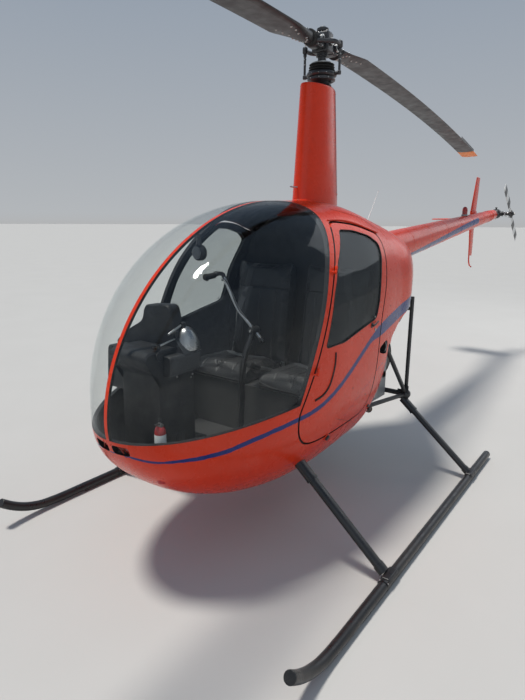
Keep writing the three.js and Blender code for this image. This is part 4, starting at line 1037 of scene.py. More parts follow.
def mastFairing():
    outer = [fairingRing(z) for z in np.r_[np.linspace(1640, 2388, 30), 2393, 2396.5, 2398]]
    outer[-1] = fairingRing(2394, -3)
    outer[-1][:, 2] = 2399.6
    foot = fairingRing(1640)
    foot[:, 2] = roofZ(foot[:, 0], foot[:, 1]) + 0.4
    rim = fairingRing(1640, 9)
    rim[:, 2] = roofZ(rim[:, 0], rim[:, 1]) + 0.4
    lip = fairingRing(1640, 0.6)
    lip[:, 2] = foot[:, 2] + 9
    rings = np.array([rim, rim + (0, 0, 2.2), lip] + [r for r in outer if r[0, 2] > 1790])
    body = tubeOf(rings)
    collar = lathe([(30, 0), (62, 0), (62, 3), (36, 5), (36, 16), (30, 16), (30, 0)], (0, 0, 2399), sides=40)
    # a lap up each flank and a spine behind
    heights = np.linspace(1800, 2392, 40)
    seams = [sweep(np.array([fairingRing(z, 0.1)[k] for z in heights]), circle(1.5, 6)) for k in (19, 28, 37)]
    return body, collar, joined(seams)


def fairingRivets():
    places, normals = [], []
    for z in (1812, 2384):
        ring = fairingRing(z)
        out = unit(ring - ring.mean(0))
        places.append(ring[1::3])
        normals.append(out[1::3])
    for k, lean in ((24, -1), (32, 1)):
        line = np.array([fairingRing(z)[k] for z in np.arange(1860, 2360, 42)])
        places.append(line)
        normals.append(np.tile((-lean * 1.0, 0.4, 0), (len(line), 1)))
    foot = fairingRing(1640, 5)[::3]
    foot[:, 2] = roofZ(foot[:, 0], foot[:, 1]) + 2.6
    places.append(foot)
    normals.append(np.tile((0, 0, 1.0), (len(foot), 1)))
    return domes(np.vstack(places), np.vstack(normals), 2.6, 0.35)


body, collar, seams = mastFairing()
makePiece("mastFairing", [(plainRed, body), (rubber, [collar, seams]), (plainRed, fairingRivets())],
          stands="mast_fairing", sharp=40)

pitotRows = [(0, -196), (13, -196), (13, -203), (8, -210), (5.2, -216), (4.6, -296), (3.8, -303), (2.6, -305),
             (2.2, -298), (0, -296)]
makePiece("pitotTube", [(alloy, lathe(pitotRows, (0, 0, 1835), "y", 20))], stands="pitot_tube")

boom = dict(frontY=950.35, aftY=4200, frontZ=1430, aftZ=1748, frontR=134, aftR=58,
            stripe=([950, 1500, 2100, 2700, 3380], [1325, 1408, 1502, 1592, 1682], [24, 25, 26, 28, 30]))


def boomAt(y):
    share = (np.asarray(y, float) - boom["frontY"]) / (boom["aftY"] - boom["frontY"])
    level = boom["frontZ"] + (boom["aftZ"] - boom["frontZ"]) * share
    return level, boom["frontR"] + (boom["aftR"] - boom["frontR"]) * share


def boomRing(y, grow=0.0, sides=72):
    z, radius = boomAt(y)
    turn = turns(sides)
    return np.stack([(radius + grow) * np.cos(turn), np.full(sides, y), z + (radius + grow) * np.sin(turn)], -1)


def tailBoom():
    # cone of skins that lap over each other by a low step, with a rolled end
    stations = [950.35, 1330, 1780, 2230, 2680, 3130, 3580, 3960, 4190]
    rows = [boomRing(950.35, -6), boomRing(950.35, -0.8), boomRing(952, 0)]
    for k, y in enumerate(stations[1:-1]):
        for at in np.linspace(stations[k] + 60, y - 60, 6):
            rows.append(boomRing(at, 0))
        rows += [boomRing(y - 12, 0), boomRing(y - 11, -0.9), boomRing(y + 11, -0.9), boomRing(y + 12, 0)]
    rows += [boomRing(4160, 0), boomRing(4196, 0), boomRing(4199.5, -1.5), boomRing(4200, -4)]
    body = tubeOf(np.array(rows))
    places, normals = [], []
    for y in stations[1:-1]:
        for step in (-24, 24):
            ring = boomRing(y + step, 0, 40)
            z, r = boomAt(y + step)
            places.append(ring)
            normals.append(ring - (0, y + step, z))
    for turn in (math.radians(-78), math.radians(102)):
        y = np.arange(980, 4150, 38.0)
        z, r = boomAt(y)
        line = np.stack([r * np.cos(turn), y, z + r * np.sin(turn)], -1)
        places.append(line)
        normals.append(line - np.stack([0 * y, y, z], -1))
    return body, domes(np.vstack(places), np.vstack(normals), 2.4, 0.3, 6)


def boomStripe(p):
    # the stripe winds slowly up the cone: its middle is a height on each side by station, and it stops bluntly
    middle = np.interp(p[:, 1], boom["stripe"][0], boom["stripe"][1])
    size = np.interp(p[:, 1], boom["stripe"][0], boom["stripe"][2])
    signed = (p[:, 2] - middle) / size
    past = np.maximum(1 + (p[:, 1] - boom["stripe"][0][-1]) / 8, 0)
    return np.where(past > np.abs(signed), np.where(signed < 0, -past, past), signed)


body, rivets = tailBoom()
makePiece("tailBoom", [(stripedRed, [body, rivets])], stands="tail_boom",
          extra={"stripe": boomStripe})


def foilRing(chord, thick, points=14):
    # symmetric aerofoil: t = 5 T (0.2969 sqrt(a) - 0.126 a - 0.3516 a^2 + 0.2843 a^3 - 0.1015 a^4), a by cosine spacing
    at = (1 - np.cos(np.pi * np.arange(points + 1) / points)) / 2
    bow = 0.2969 * np.sqrt(at) - 0.126 * at - 0.3516 * at ** 2 + 0.2843 * at ** 3 - 0.1015 * at ** 4
    side = np.stack([np.maximum(5 * thick * bow, 0.5), at * chord], -1)
    return np.vstack([side, side[1:][::-1] * (-1, 1)])


def tipped(rows, place, tipEase):
    # foil rings at rows of (station, lead, chord, thick), with two more rings that draw the tip in
    rings = [place(st, lead, foilRing(chord, thick)) for st, lead, chord, thick in rows]
    st, lead, chord, thick = rows[-1]
    back = np.sign(rows[-1][0] - rows[-2][0])
    rings[-1] = place(st - back * tipEase, lead, foilRing(chord, thick))
    for share, draw in ((0.45, 0.05), (0.85, 0.2), (1.0, 0.5)):
        ring = foilRing(chord * (1 - draw * 0.12), thick * (1 - draw))
        rings.append(place(st - back * tipEase * (1 - share), lead + chord * draw * 0.06, ring))
    return tubeOf(np.array(rings))


finX = -165


def finPlace(z, lead, ring):
    return np.stack([finX + ring[:, 0], lead + ring[:, 1], np.full(len(ring), z)], -1)


def bladeRows(rows, count):
    # the rows filled in by straight steps, so that the bands and bumps have faces to follow
    rows = np.asarray(rows, float)
    at = np.linspace(0, len(rows) - 1, count)
    return np.stack([np.interp(at, np.arange(len(rows)), rows[:, k]) for k in range(rows.shape[1])], -1)


upperRows = bladeRows([(1792, 3850, 224, 24), (2030, 3925, 176, 18), (2184, 3972, 142, 12)], 9)
lowerRows = bladeRows([(1640, 3850, 200, 22), (1400, 3905, 160, 17), (1252, 3925, 138, 12)], 9)


def finRivets(rows):
    places = []
    for st, lead, chord, thick in rows[1:-1]:
        for side in (-1, 1):
            places.append((finX + side * thick * 0.5, lead + chord * 0.3, st))
            places.append((finX + side * thick * 0.36, lead + chord * 0.62, st))
    places = np.array(places)
    return domes(places, np.c_[np.sign(places[:, 0] - finX), np.zeros((len(places), 2))], 2.2, 0.35, 6)


makePiece("upperFin", [(plainRed, [tipped(upperRows, finPlace, 6), finRivets(upperRows)])], stands="upper_fin",
          sharp=50)
makePiece("lowerFin", [(plainRed, [tipped(lowerRows, finPlace, 6), finRivets(lowerRows)])], stands="lower_fin",
          sharp=50)


def stabPlace(x, lead, ring):
    return np.stack([np.full(len(ring), x), lead + ring[:, 1], 1692 + ring[:, 0]], -1)


stabRows = bladeRows([(-179.4, 3850, 280, 26), (-400, 3858, 262, 22), (-640, 3868, 240, 16)], 10)
stabRivets = np.array([(st, lead + chord * at, 1692 + up * thick * size) for st, lead, chord, thick in stabRows[1:-1]
                       for at, size in ((0.28, 0.5), (0.62, 0.36)) for up in (-1, 1)])
stabUps = np.c_[np.zeros((len(stabRivets), 2)), np.sign(stabRivets[:, 2] - 1692)]
makePiece("stabilizer", [(plainRed, [tipped(stabRows, stabPlace, 6), domes(stabRivets, stabUps, 2.2, 0.35, 6)])],
          stands="stabilizer", sharp=50)


def finBracket():
    # two straps round the boom, a root block for the fins and two webs between them
    parts = []
    for y in (3905, 4020):
        rows = [boomRing(y + d, grow, 48)
                for d, grow in ((-16, 0.4), (-16, 2.2), (-12, 3), (12, 3), (16, 2.2), (16, 0.4))]
        parts.append((np.vstack(rows), gridFaces(6, 48, True, True)))
    parts.append(pillow((finX - 13, 3868, 1641), (finX + 13, 4068, 1791), 5))
    parts += [pillow((finX + 12, 3892, z), (-62, 4048, z + 7), 2) for z in (1694, 1755)]
    parts.append(pillow((finX + 12, 3960, 1700), (-64, 3967, 1758), 2))
    heads = [(finX - 13.5, y, z) for y in (3890, 3940, 3995, 4045) for z in (1662, 1715, 1770)]
    return parts, domes(heads, np.tile((-1.0, 0, 0), (len(heads), 1)), 4.5, 0.6)


parts, heads = finBracket()
makePiece("finMount", [(plainRed, parts), (boltSteel, heads)], stands="fin_mount")
bow = [(3952, 1262), (3952.5, 1235), (3968, 1180), (4010, 1135), (4075, 1112)]
makePiece("tailSkid", [(plainRed, pipe([(finX, y, z) for y, z in bow], 8, 60, 14)),
                       (rubber, rod((finX, 4071, 1113), (finX, 4083, 1109.5), 9, 16)),
                       (boltSteel, rod((finX - 10, 3952, 1258), (finX + 10, 3952, 1258), 6))],
          stands="tail_skid")


def tailGearbox():
    # a waisted casting: input flange and neck along the boom, drum across with its snout, filler, sight glass, bolts
    y, z = gearbox["y"], gearbox["z"]
    neck = lathe([(0, 4200.5), (52, 4200.5), (52, 4208), (45, 4211), (41, 4228), (42, 4262), (46, 4290), (38, 4315),
                  (0, 4317)],
                 (0, 0, boom["aftZ"]), "y", 40)
    drum = lathe([(0, -45), (38, -45), (42, -41), (44, -35), (53, -31), (55, -22), (55, 26), (52, 34), (44, 40),
                  (38, 48), (0, 48)], (0, y, z), "x", 48)
    snout = lathe([(0, 44), (34, 44), (34, 50), (29, 54), (27, 72), (32, 76), (32, 82), (0, 82)], (0, y, z), "x", 36)
    web = pillow((-24, 4282, z - 42), (24, 4345, z + 26), 9)
    filler = lathe([(0, 0), (12, 0), (12, 8), (9, 10), (9, 18), (13, 20), (13, 28), (0, 29)], (0, y - 8, z + 50),
                   sides=20)
    glass = lathe([(0, -52), (9, -52), (10, -48), (10, -42), (0, -42)], (0, y - 18, z - 16), "x", 20)
    turn = np.radians(np.arange(0, 360, 60))
    heads = np.stack([np.full(6, 43.0), y + 46 * np.cos(turn), z + 46 * np.sin(turn)], -1)
    ring = np.stack([46 * np.cos(turn), np.full(6, 4201.5), boom["aftZ"] + 46 * np.sin(turn)], -1)
    bolts = domes(np.vstack([heads, heads * (-1, 1, 1)]), np.repeat([(1.0, 0, 0), (-1.0, 0, 0)], 6, 0), 5.0, 0.7)
    studs = domes(ring + (0, 7, 0), np.tile((0, 1.0, 0), (6, 1)), 5.0, 0.7)
    chip = rod((0, y, z - 66), (0, y, z - 50), 8, 6)
    return [neck, drum, snout, web, filler, glass, bolts, studs, chip]


gearbox = dict(y=4370, z=1762)
makePiece("tailGearbox", list(zip([headSteel] * 4 + [gearBlack, lampRed] + [boltSteel] * 3, tailGearbox())),
          stands="tail_gearbox")
beaconZ = float(sum(boomAt(3050)))
beaconRows = [(castAlloy, [(0, -2), (35, -2), (35, 8), (33, 12), (28, 14), (0, 14)]),
              (lampRed, [(0, 12), (26.5, 12), (27, 60), (25, 74), (19, 86), (10, 92), (0, 94)])]
makePiece("beacon", [(kind, lathe(rows, (0, 3050, beaconZ), sides=40)) for kind, rows in beaconRows],
          stands="beacon")
print("mast fairing, boom and tail made")

# landing gear
skid = dict(x=940, z=31, radius=25, aftY=885,
            toe=[(-1250, 31), (-1290, 31), (-1361, 33.5), (-1440, 41), (-1540, 71), (-1610, 109), (-1664, 149)])
strut = dict(y=-830, footX=934, footZ=37, slope=-0.872)
corner = dict(x=466, y=470, z=496, legTop=(430, 478), legFoot=(938, 40))


def skidTube():
    # tube along the ground with an upswept toe, both ends cut flat and plugged
    toe = curveThrough(np.array(skid["toe"], float), 44)
    straight = np.c_[np.linspace(skid["aftY"] - 3, -1230, 22), np.full(22, skid["z"])]
    run = np.vstack([straight, toe])
    path = np.c_[np.full(len(run), skid["x"]), run]
    aft = np.array([(skid["x"], skid["aftY"], skid["z"]), (skid["x"], skid["aftY"] - 1.2, skid["z"])])
    last = path[-1] + unit(path[-1] - path[-2]) * np.array([[1.5], [2.5]])
    path = np.vstack([aft, path, last])
    size = np.r_[0.93, 0.985, np.ones(len(run)), 0.985, 0.93]
    return sweep(path, circle(skid["radius"] - 0.4, 28), scale=size)


def saddle(y, rings):
    # welded shoe: a low block with eased ends on top of the tube, and clamp rings where the leg is bolted
    block = pillow((skid["x"] - 21, y - 51, skid["z"] + 8), (skid["x"] + 21, y + 51, skid["z"] + 31), 7)
    weld = sweep(softened([(skid["x"] + a, y + b, skid["z"] + 21)
                           for a, b in ((-21.6, -53), (21.6, -53), (21.6, 53), (-21.6, 53))], 14, 5),
                 circle(3.2, 8), closed=True)
    straps, bolts = [], []
    for d in rings:
        strap = hoop((skid["x"], y + d, skid["z"]), 26.5, [(-1.4, -6), (1.4, -6), (1.4, 6), (-1.4, 6)], 32)
        straps.append((np.minimum(strap[0], (skid["x"] + 24.95, 1e6, 1e6)), strap[1]))   # filed flush outboard
        bolts += [(skid["x"] + s * 20, y + d, skid["z"] + 17) for s in (-1, 1)]
    heads = domes(bolts, [(np.sign(b[0] - skid["x"]), 0, 0.6) for b in bolts], 5, 0.8)
    return [block, weld] + straps, heads


def shoePlate():
    # wear shoe under the skid: shallow channel with welded ends
    y = np.array([-1150, -1146, -1130, 780, 796, 800])
    size = np.array([0.55, 0.8, 1, 1, 0.8, 0.55])
    outline = np.array([(-17, 12), (-17, -1), (-13, -6), (13, -6), (17, -1), (17, 12)])
    rings = np.stack([np.c_[skid["x"] + outline[:, 0] * s, np.full(6, at), 6 + outline[:, 1] * s]
                      for at, s in zip(y, size)])
    rings[:, :, 2] = np.maximum(rings[:, :, 2], 0.0)
    return tubeOf(rings)


front, frontHeads = saddle(strut["y"], (-62,))
rear, rearHeads = saddle(corner["y"], (-34, 34))
makePair("skid",
         [(gearBlack, [skidTube()] + front + rear), (shoeSteel, shoePlate()), (boltSteel, [frontHeads, rearHeads])],
         stands="skid_")


def streamLeg(y, start, end, width, thick, rows=12, sides=28):
    # streamlined bar in a plane across the aircraft: superellipse section, blunt nose forward
    start, end = np.array(start, float), np.array(end, float)
    run = unit(end - start)
    turn = turns(sides)
    along, side = width / 2 * np.cos(turn), thick / 2 * np.sin(turn) * (1 - 0.18 * np.cos(turn))
    rings = []
    for share in np.linspace(0, 1, rows):
        x, z = start + (end - start) * share
        rings.append(np.stack([x - run[1] * side, y + along, z + run[0] * side], -1))
    return tubeOf(np.array(rings))


def legPoint(reach):
    return (strut["footX"] - reach, strut["footZ"] - reach * strut["slope"])


foot = legPoint(24)
cuff = [streamLeg(strut["y"], legPoint(540), legPoint(424), 74, 46),
        streamLeg(strut["y"], legPoint(427), legPoint(417), 78, 50)]
shank = streamLeg(strut["y"], legPoint(600), foot, 62, 34)
collarFoot = streamLeg(strut["y"], legPoint(52), legPoint(22), 70, 42)
frontParts = [shank] + cuff + [collarFoot]
makePair("frontLeg", [(gearBlack, frontParts)], stands="front_leg_")
run = unit(np.subtract(corner["legFoot"], corner["legTop"]))
rearStart = np.array(corner["legTop"], float) + run * 22


def rearPoint(reach):
    return tuple(rearStart + run * reach)


whole = float(np.linalg.norm(np.subtract(corner["legFoot"], corner["legTop"]))) - 22
rearParts = [streamLeg(corner["y"], rearPoint(0), rearPoint(whole - 22), 62, 34),
             streamLeg(corner["y"], rearPoint(2), rearPoint(112), 74, 46),
             streamLeg(corner["y"], rearPoint(106), rearPoint(117), 78, 50),
             streamLeg(corner["y"], rearPoint(whole - 50), rearPoint(whole - 20), 70, 42)]
makePair("rearLeg", [(gearBlack, rearParts)], stands="rear_leg_")
print("landing gear made")

# engine bay, from the crankcase outwards
bay = dict(crankZ=700, front=40, aft=395, port=(132, 300), starboard=(104, 272), barrel=62, headFrom=212, headTo=292,
           finStep=5.6, headStep=6.4, sheaveY=408, sheaveWide=76, lowWheel=84, highWheel=78, highZ=985,
           fanFront=500, blades=22, mufflerY=210, mufflerZ=410)


def stack(outline, levels, axis, centre=(0, 0, 0)):
    # one flat outline scaled about its middle at each level: point = centre + outline * scale, height along the axis
    outline = np.asarray(outline, float)
    rings = np.array([np.c_[outline * s, np.full(len(outline), h)] for h, s in levels])
    points, faces = tubeOf(rings)
    return points[:, axisOrder[axis]] + centre, faces


def finRows(start, end, step, thick, outer, inner):
    # levels that jump between fin and valley: each fin is a flat crest with steep walls
    rows = [(start, inner)]
    for at in np.arange(start + step / 2, end - step / 2, step):
        rows += [(at - thick * 0.5, inner), (at - thick * 0.3, outer), (at + thick * 0.3, outer),
                 (at + thick * 0.5, inner)]
    return rows + [(end, inner)]


def oneCylinder(y):
    # port cylinder: finned barrel, square finned head, two rocker covers, push-rod tubes, plug and ports
    z, a, b = bay["crankZ"], bay["headFrom"], bay["headTo"]
    barrel = lathe([(0, 80)] + [(r, h) for h, r in finRows(92, a + 2, bay["finStep"], 2.6, bay["barrel"], 50)]
                   + [(0, a + 2)], (0, y, z), "x", 40)
    square = softened([(-62, -63), (62, -63), (62, 63), (-62, 63)], 20, 5)
    head = stack(square, finRows(a, b - 4, bay["headStep"], 3.0, 1.0, 0.86), "x", (0, y, z))
    seat = stack(square, [(b - 6, 0.8), (b - 5, 0.92), (b - 1, 0.92), (b, 0.88)], "x", (0, y, z))
    covers, bolts = [], []
    for d in (-30, 30):
        covers.append(pillow((b - 3, y + d - 23, z + 10), (b + 21, y + d + 23, z + 54), 9, 6))
        covers.append(pillow((b - 3, y + d - 26, z + 7), (b + 3, y + d + 26, z + 57), 2.5, 4))
        bolts += [(b + 3, y + d + s, z + t) for s in (-21, 21) for t in (13, 51)]
    tubes = [rod((92, y + d, z + 74), (a + 4, y + d * 0.8, z + 52), 9, 14) for d in (-24, 24)]
    plug = [rod((252, y, z + 58), (252, y, z + 74), 9, 6), rod((252, y, z + 72), (252, y, z + 92), 6.5, 14)]
    intake = pipe([(104, y - 42, 548), (170, y - 44, 560), (240, y - 42, 590), (256, y - 42, z - 60)], 16, 30, 18)
    flange = pillow((232, y - 62, z - 68), (280, y - 22, z - 60), 3)
    return dict(barrel=[barrel], head=[head, seat], covers=covers, tubes=tubes + [flange], plug=[plug[0]],
                boot=[plug[1]], intake=[intake],
                bolts=[domes(bolts, np.tile((1.0, 0, 0), (len(bolts), 1)), 3.6, 0.6, 6)])


def powerPlant():
    z = bay["crankZ"]
    case = [(-96, -80), (-72, -108), (72, -108), (96, -80), (96, 70), (58, 100), (-58, 100), (-96, 70)]
    rim = softened(case, 16, 5)
    front, aft = bay["front"], bay["aft"]
    block = stack(rim, [(front, 0.95), (front + 2, 0.985), (front + 6, 1), (aft - 6, 1), (aft - 2, 0.985), (aft, 0.95)],
                  "y", (0, 0, z))
    ribs = [pillow((-60, y - 4, z + 90), (60, y + 4, z + 110), 3) for y in (70, 118, 166, 214, 262, 310, 358)]
    spine = pillow((-5, front + 4, z + 94), (5, aft - 4, z + 116), 2)
    sumpLine = softened([(-110, -66), (110, -66), (140, -40), (140, 8), (96, 46), (-96, 46), (-140, 8), (-140, -40)],
                        22, 5)
    sump = stack(sumpLine, [(60, 0.9), (63, 0.97), (70, 1), (370, 1), (377, 0.97), (380, 0.9)], "y", (0, 0, 554))
    sumpFins = [pillow((-126, y - 2, 482), (126, y + 2, 500), 1.6, 3) for y in range(96, 350, 22)]
    gasket = stack(sumpLine * 0.72, [(64, 1), (376, 1)], "y", (0, 0, 592))
    gear = pillow((-78, -40, z - 70), (78, 45, z + 60), 16, 6)
    magnetos, caps = [], []
    for s in (-1, 1):
        magnetos.append(lathe([(0, -60), (26, -60), (30, -54), (30, -36), (27, -30), (0, -30)], (s * 45, 0, z + 30),
                              "y", 28))
        caps.append(lathe([(0, -74), (20, -74), (25, -68), (25, -58), (0, -58)], (s * 45, 0, z + 30), "y", 24))
    airBox = pillow((-70, -55, 470), (70, 65, 575), 14, 6)
    intakeThroat = lathe([(0, -78), (34, -78), (36, -74), (36, -52), (0, -52)], (0, 0, 522), "y", 30)
    oilFilter = lathe([(0, -68), (28, -68), (33, -62), (33, -6), (0, -4)], (0, 0, z - 36), "y", 30)
    filler = lathe([(0, 0), (13, 0), (13, 90), (19, 92), (19, 112), (0, 114)], (-58, 120, z + 92), sides=18)
    studs = [(s * 98, y, z + d) for s in (-1, 1) for y in (56, 200, 236, 372) for d in (-66, 56)]
    heads = domes(studs, [(np.sign(p[0]), 0, 0) for p in studs], 7, 0.7, 6)
    parts = [block] + ribs + [spine, sump] + sumpFins + [gasket, gear] + magnetos + caps
    parts += [airBox, intakeThroat, oilFilter, filler, heads]
    kinds = ([castAlloy] * (2 + len(ribs) + 1 + len(sumpFins)) + [rubber, castAlloy] + [gearBlack] * 4
             + [castAlloy, rubber, bottleRed, gearBlack, boltSteel])
    leads = []
    for side, bank in ((1, bay["port"]), (-1, bay["starboard"])):
        for k, y in enumerate(bank):
            one = oneCylinder(y)
            for label, kind in (("barrel", exhaust), ("head", castAlloy), ("covers", greyPaint), ("tubes", alloy),
                                ("plug", boltSteel), ("boot", rubber), ("intake", alloy), ("bolts", boltSteel)):
                for piece in one[label]:
                    parts.append(piece if side > 0 else flipped(piece))
                    kinds.append(kind)
            # one lead for each plug, over the case to its magneto
            leads.append(pipe([(side * 252, y, z + 90), (side * 250, y - 6, z + 118), (side * 190, y - 30, z + 124),
                               (side * (96 - 14 * k), y - 60, z + 122), (side * (62 - 8 * k), 20 - 10 * k, z + 110),
                               (side * (48 - 6 * k), -30, z + 72), (side * 45, -66, z + 44 - 16 * k)], 4.2, 60, 10))
    parts += leads
    kinds += [rubber] * len(leads)
    return list(zip(kinds, parts))


def grooved(radius, wide, grooves, depth):
    # pulley rim as [radius, height]: shoulders and v grooves
    rows = [(0, 0), (radius * 0.4, 0), (radius * 0.42, 6), (radius - 12, 6), (radius - 11, 0), (radius, 1), (radius, 5)]
    pitch = (wide - 10) / grooves
    for k in range(grooves):
        at = 5 + pitch * k
        rows += [(radius, at + pitch * 0.12), (radius - depth, at + pitch * 0.38), (radius - depth, at + pitch * 0.62),
                 (radius, at + pitch * 0.88)]
    return rows + [(radius, wide - 1), (radius - 11, wide), (radius - 12, wide - 6), (radius * 0.42, wide - 6),
                   (radius * 0.4, wide), (0, wide)]


def beltLoop(y, width, spare=0.0):
    # belt round both wheels: half circles joined by straight runs, flat section with a ribbed back
    low, high = bay["lowWheel"] + spare, bay["highWheel"] + spare
    turn = np.linspace(0, math.pi, 24)
    over = np.stack([high * np.cos(turn), np.full(24, y), bay["highZ"] + high * np.sin(turn)], -1)
    under = np.stack([-low * np.cos(turn), np.full(24, y), bay["crankZ"] - low * np.sin(turn)], -1)
    run = np.linspace(0, 1, 12)[1:-1, None]
    loop = np.vstack([over, over[-1] + (under[0] - over[-1]) * run, under, under[-1] + (over[0] - under[-1]) * run])
    w = width / 2
    section = [(-5, -w * 0.7), (1, -w), (4, -w), (4, w), (1, w), (-5, w * 0.7)]
    return sweep(loop, section, closed=True)


def driveTrain():
    y, wide, z, high = bay["sheaveY"], bay["sheaveWide"], bay["crankZ"], bay["highZ"]
    parts = [lathe([(r, y + h) for r, h in grooved(bay["lowWheel"], wide, 4, 9)], (0, 0, z), "y", 56),
             lathe([(r, y + h) for r, h in grooved(bay["highWheel"], wide, 4, 9)], (0, 0, high), "y", 56),
             rod((0, 390, z), (0, 415, z), 58, 36)]
    kinds = [alloy, alloy, castAlloy]
    for k in range(2):
        parts.append(beltLoop(y + 22 + 32 * k, 26))
        kinds.append(rubber)
    parts += [rod((0, 300, high), (0, 570, high), 20, 28),
              lathe([(0, 484), (30, 484), (34, 488), (50, 490), (52, 494), (52, 508), (46, 511), (46, 518), (52, 521),
                     (52, 536), (50, 540), (34, 542), (30, 546), (0, 546)], (0, 0, high), "y", 40),
              lathe([(0, 552), (44, 552), (48, 555), (48, 563), (44, 566), (0, 566)], (0, 0, high), "y", 6),
              lathe([(0, 316), (36, 316), (38, 320), (38, 374), (36, 378), (0, 378)], (0, 0, high), "y", 32),
              rod((0, 348, z + 96), (0, 348, high - 90), 17, 20), rod((0, 348, high - 96), (0, 348, high - 30), 10, 16),
              lathe([(0, 0), (22, 0), (25, 5), (25, 62), (22, 66), (0, 66)], (0, 348, z + 110), sides=28)]
    kinds += [boltSteel, headSteel, headSteel, castAlloy, alloy, boltSteel, gearBlack]
    for s in (-1, 1):
        parts.append(pillow((s * 129 - 21, 350, 488), (s * 129 + 21, 452.6, 506), 4))
        parts.append(pillow((s * 129 - 21, 350, 488), (s * 129 + 21, 380, 580), 5))
        parts.append(lathe([(0, 0), (19, 0), (24, 4), (24, 12), (19, 16), (0, 16)], (s * 129, 425, 505), sides=24))
        kinds += [frameBlack, frameBlack, rubber]
    return list(zip(kinds, parts))


makePiece("engine", powerPlant() + driveTrain(), stands="engine", sharp=40)


def scrollRing(grow, y, share=1.0, bore=0.0):
    # spiral outline: radius 228 + 52 of a turn, eased over its step; share blends it towards a round bore
    turn = np.linspace(0, 2 * math.pi, 96, endpoint=False)
    radius = 228 + 52 * turn / (2 * math.pi)
    back = np.clip((turn - 5.9) / (2 * math.pi - 5.9), 0, 1)
    radius = radius - 52 * back * back * (3 - 2 * back) + grow
    radius = radius * share + bore * (1 - share)
    return np.stack([radius * np.cos(turn + 1.2), np.full(96, y), bay["crankZ"] + radius * np.sin(turn + 1.2)], -1)


def fanHousing():
    front, z = bay["fanFront"], bay["crankZ"]
    rows = [scrollRing(0, front, 0, 60), scrollRing(-30, front), scrollRing(-3, front), scrollRing(0, front + 3)]
    rows += [scrollRing(0, y) for y in (520, 560, 600, 636)]
    rows += [scrollRing(3, 637), scrollRing(3, 641), scrollRing(0, 642), scrollRing(-6, 650), scrollRing(-20, 657)]
    rows += [scrollRing(0, y, 0, r) for y, r in ((658, 190), (660, 184), (659.5, 179), (655, 175), (640, 170),
                                                 (600, 166), (584, 165), (583, 158), (583, 70))]
    shell = tubeOf(np.array(rows))
    hub = lathe([(0, 560), (70, 560), (78, 580), (76, 600), (58, 628), (44, 646), (20, 648), (0, 648)], (0, 0, z), "y",
                40)
    nut = lathe([(0, 640), (19, 640), (19, 654), (14, 658), (0, 658)], (0, 0, z), "y", 6)
    stub = rod((0, 484.4, z), (0, 506, z), 39, 32)
    sweepTurn = np.linspace(0, 0.62, 9)
    reach = np.linspace(70, 158, 9)
    path = np.stack([reach * np.cos(sweepTurn), np.full(9, 610), reach * np.sin(sweepTurn)], -1)
    vane = sweep(path, [(-1.1, -26), (1.1, -26), (1.1, 22), (-1.1, 22)])
    vanes = joined([moved(moved(vane, (0, 0, 0), turnAbout((0, 1, 0), 360 * k / bay["blades"])), (0, 0, z))
                    for k in range(bay["blades"])])
    band = sweep(np.stack([161 * np.cos(np.linspace(0, 2 * math.pi, 72, endpoint=False)), np.full(72, 632),
                           z + 161 * np.sin(np.linspace(0, 2 * math.pi, 72, endpoint=False))], -1),
                 [(-1, -5), (1, -5), (1, 5), (-1, 5)], closed=True)
    ring = scrollRing(1.5, 639)[::6]
    rivets = domes(ring + (0, 3, 0), np.tile((0, 1.0, 0), (len(ring), 1)), 4, 0.5, 6)
    panels = []
    for s in (1, -1):
        outline = np.array([(106, 86), (200, 83.5), (296, 82), (298, 66), (300, 66), (300, 88), (200, 95), (106, 104)],
                           float)
        sheet = stack(outline, [(66, 1), (506, 1)], "y", (0, 0, z))
        panels.append(sheet if s > 0 else flipped(sheet))
        beside = [pillow((318.6, 61, 470), (322, 451, 645), 1.6), pillow((316, 62, 468), (324, 450, 476), 3),
                  pillow((319, 393, 600), (322, 451, 774), 1.4), pillow((292, 393, 783), (322, 451, 787), 1.4)]
        beside += [pillow((130, y - 5, z + 88), (280, y + 5, z + 97), 3) for y in (150, 235, 330, 420)]
        beside.append(domes([(322, y, q) for y in (80, 170, 260, 350, 440) for q in (484, 634)], [(1.0, 0, 0)] * 10,
                            4.5, 0.5))
        panels += [bead if s > 0 else flipped(bead) for bead in beside]
    return [shell, hub, nut, stub, vanes, band, rivets] + panels


housing = fanHousing()
fanKinds = [gearBlack, castAlloy, boltSteel, castAlloy, alloy, alloy, boltSteel]
makePiece("fanShroud", list(zip(fanKinds, housing)) + [(greyPaint, housing[len(fanKinds):])], stands="fan_shroud",
          sharp=40)


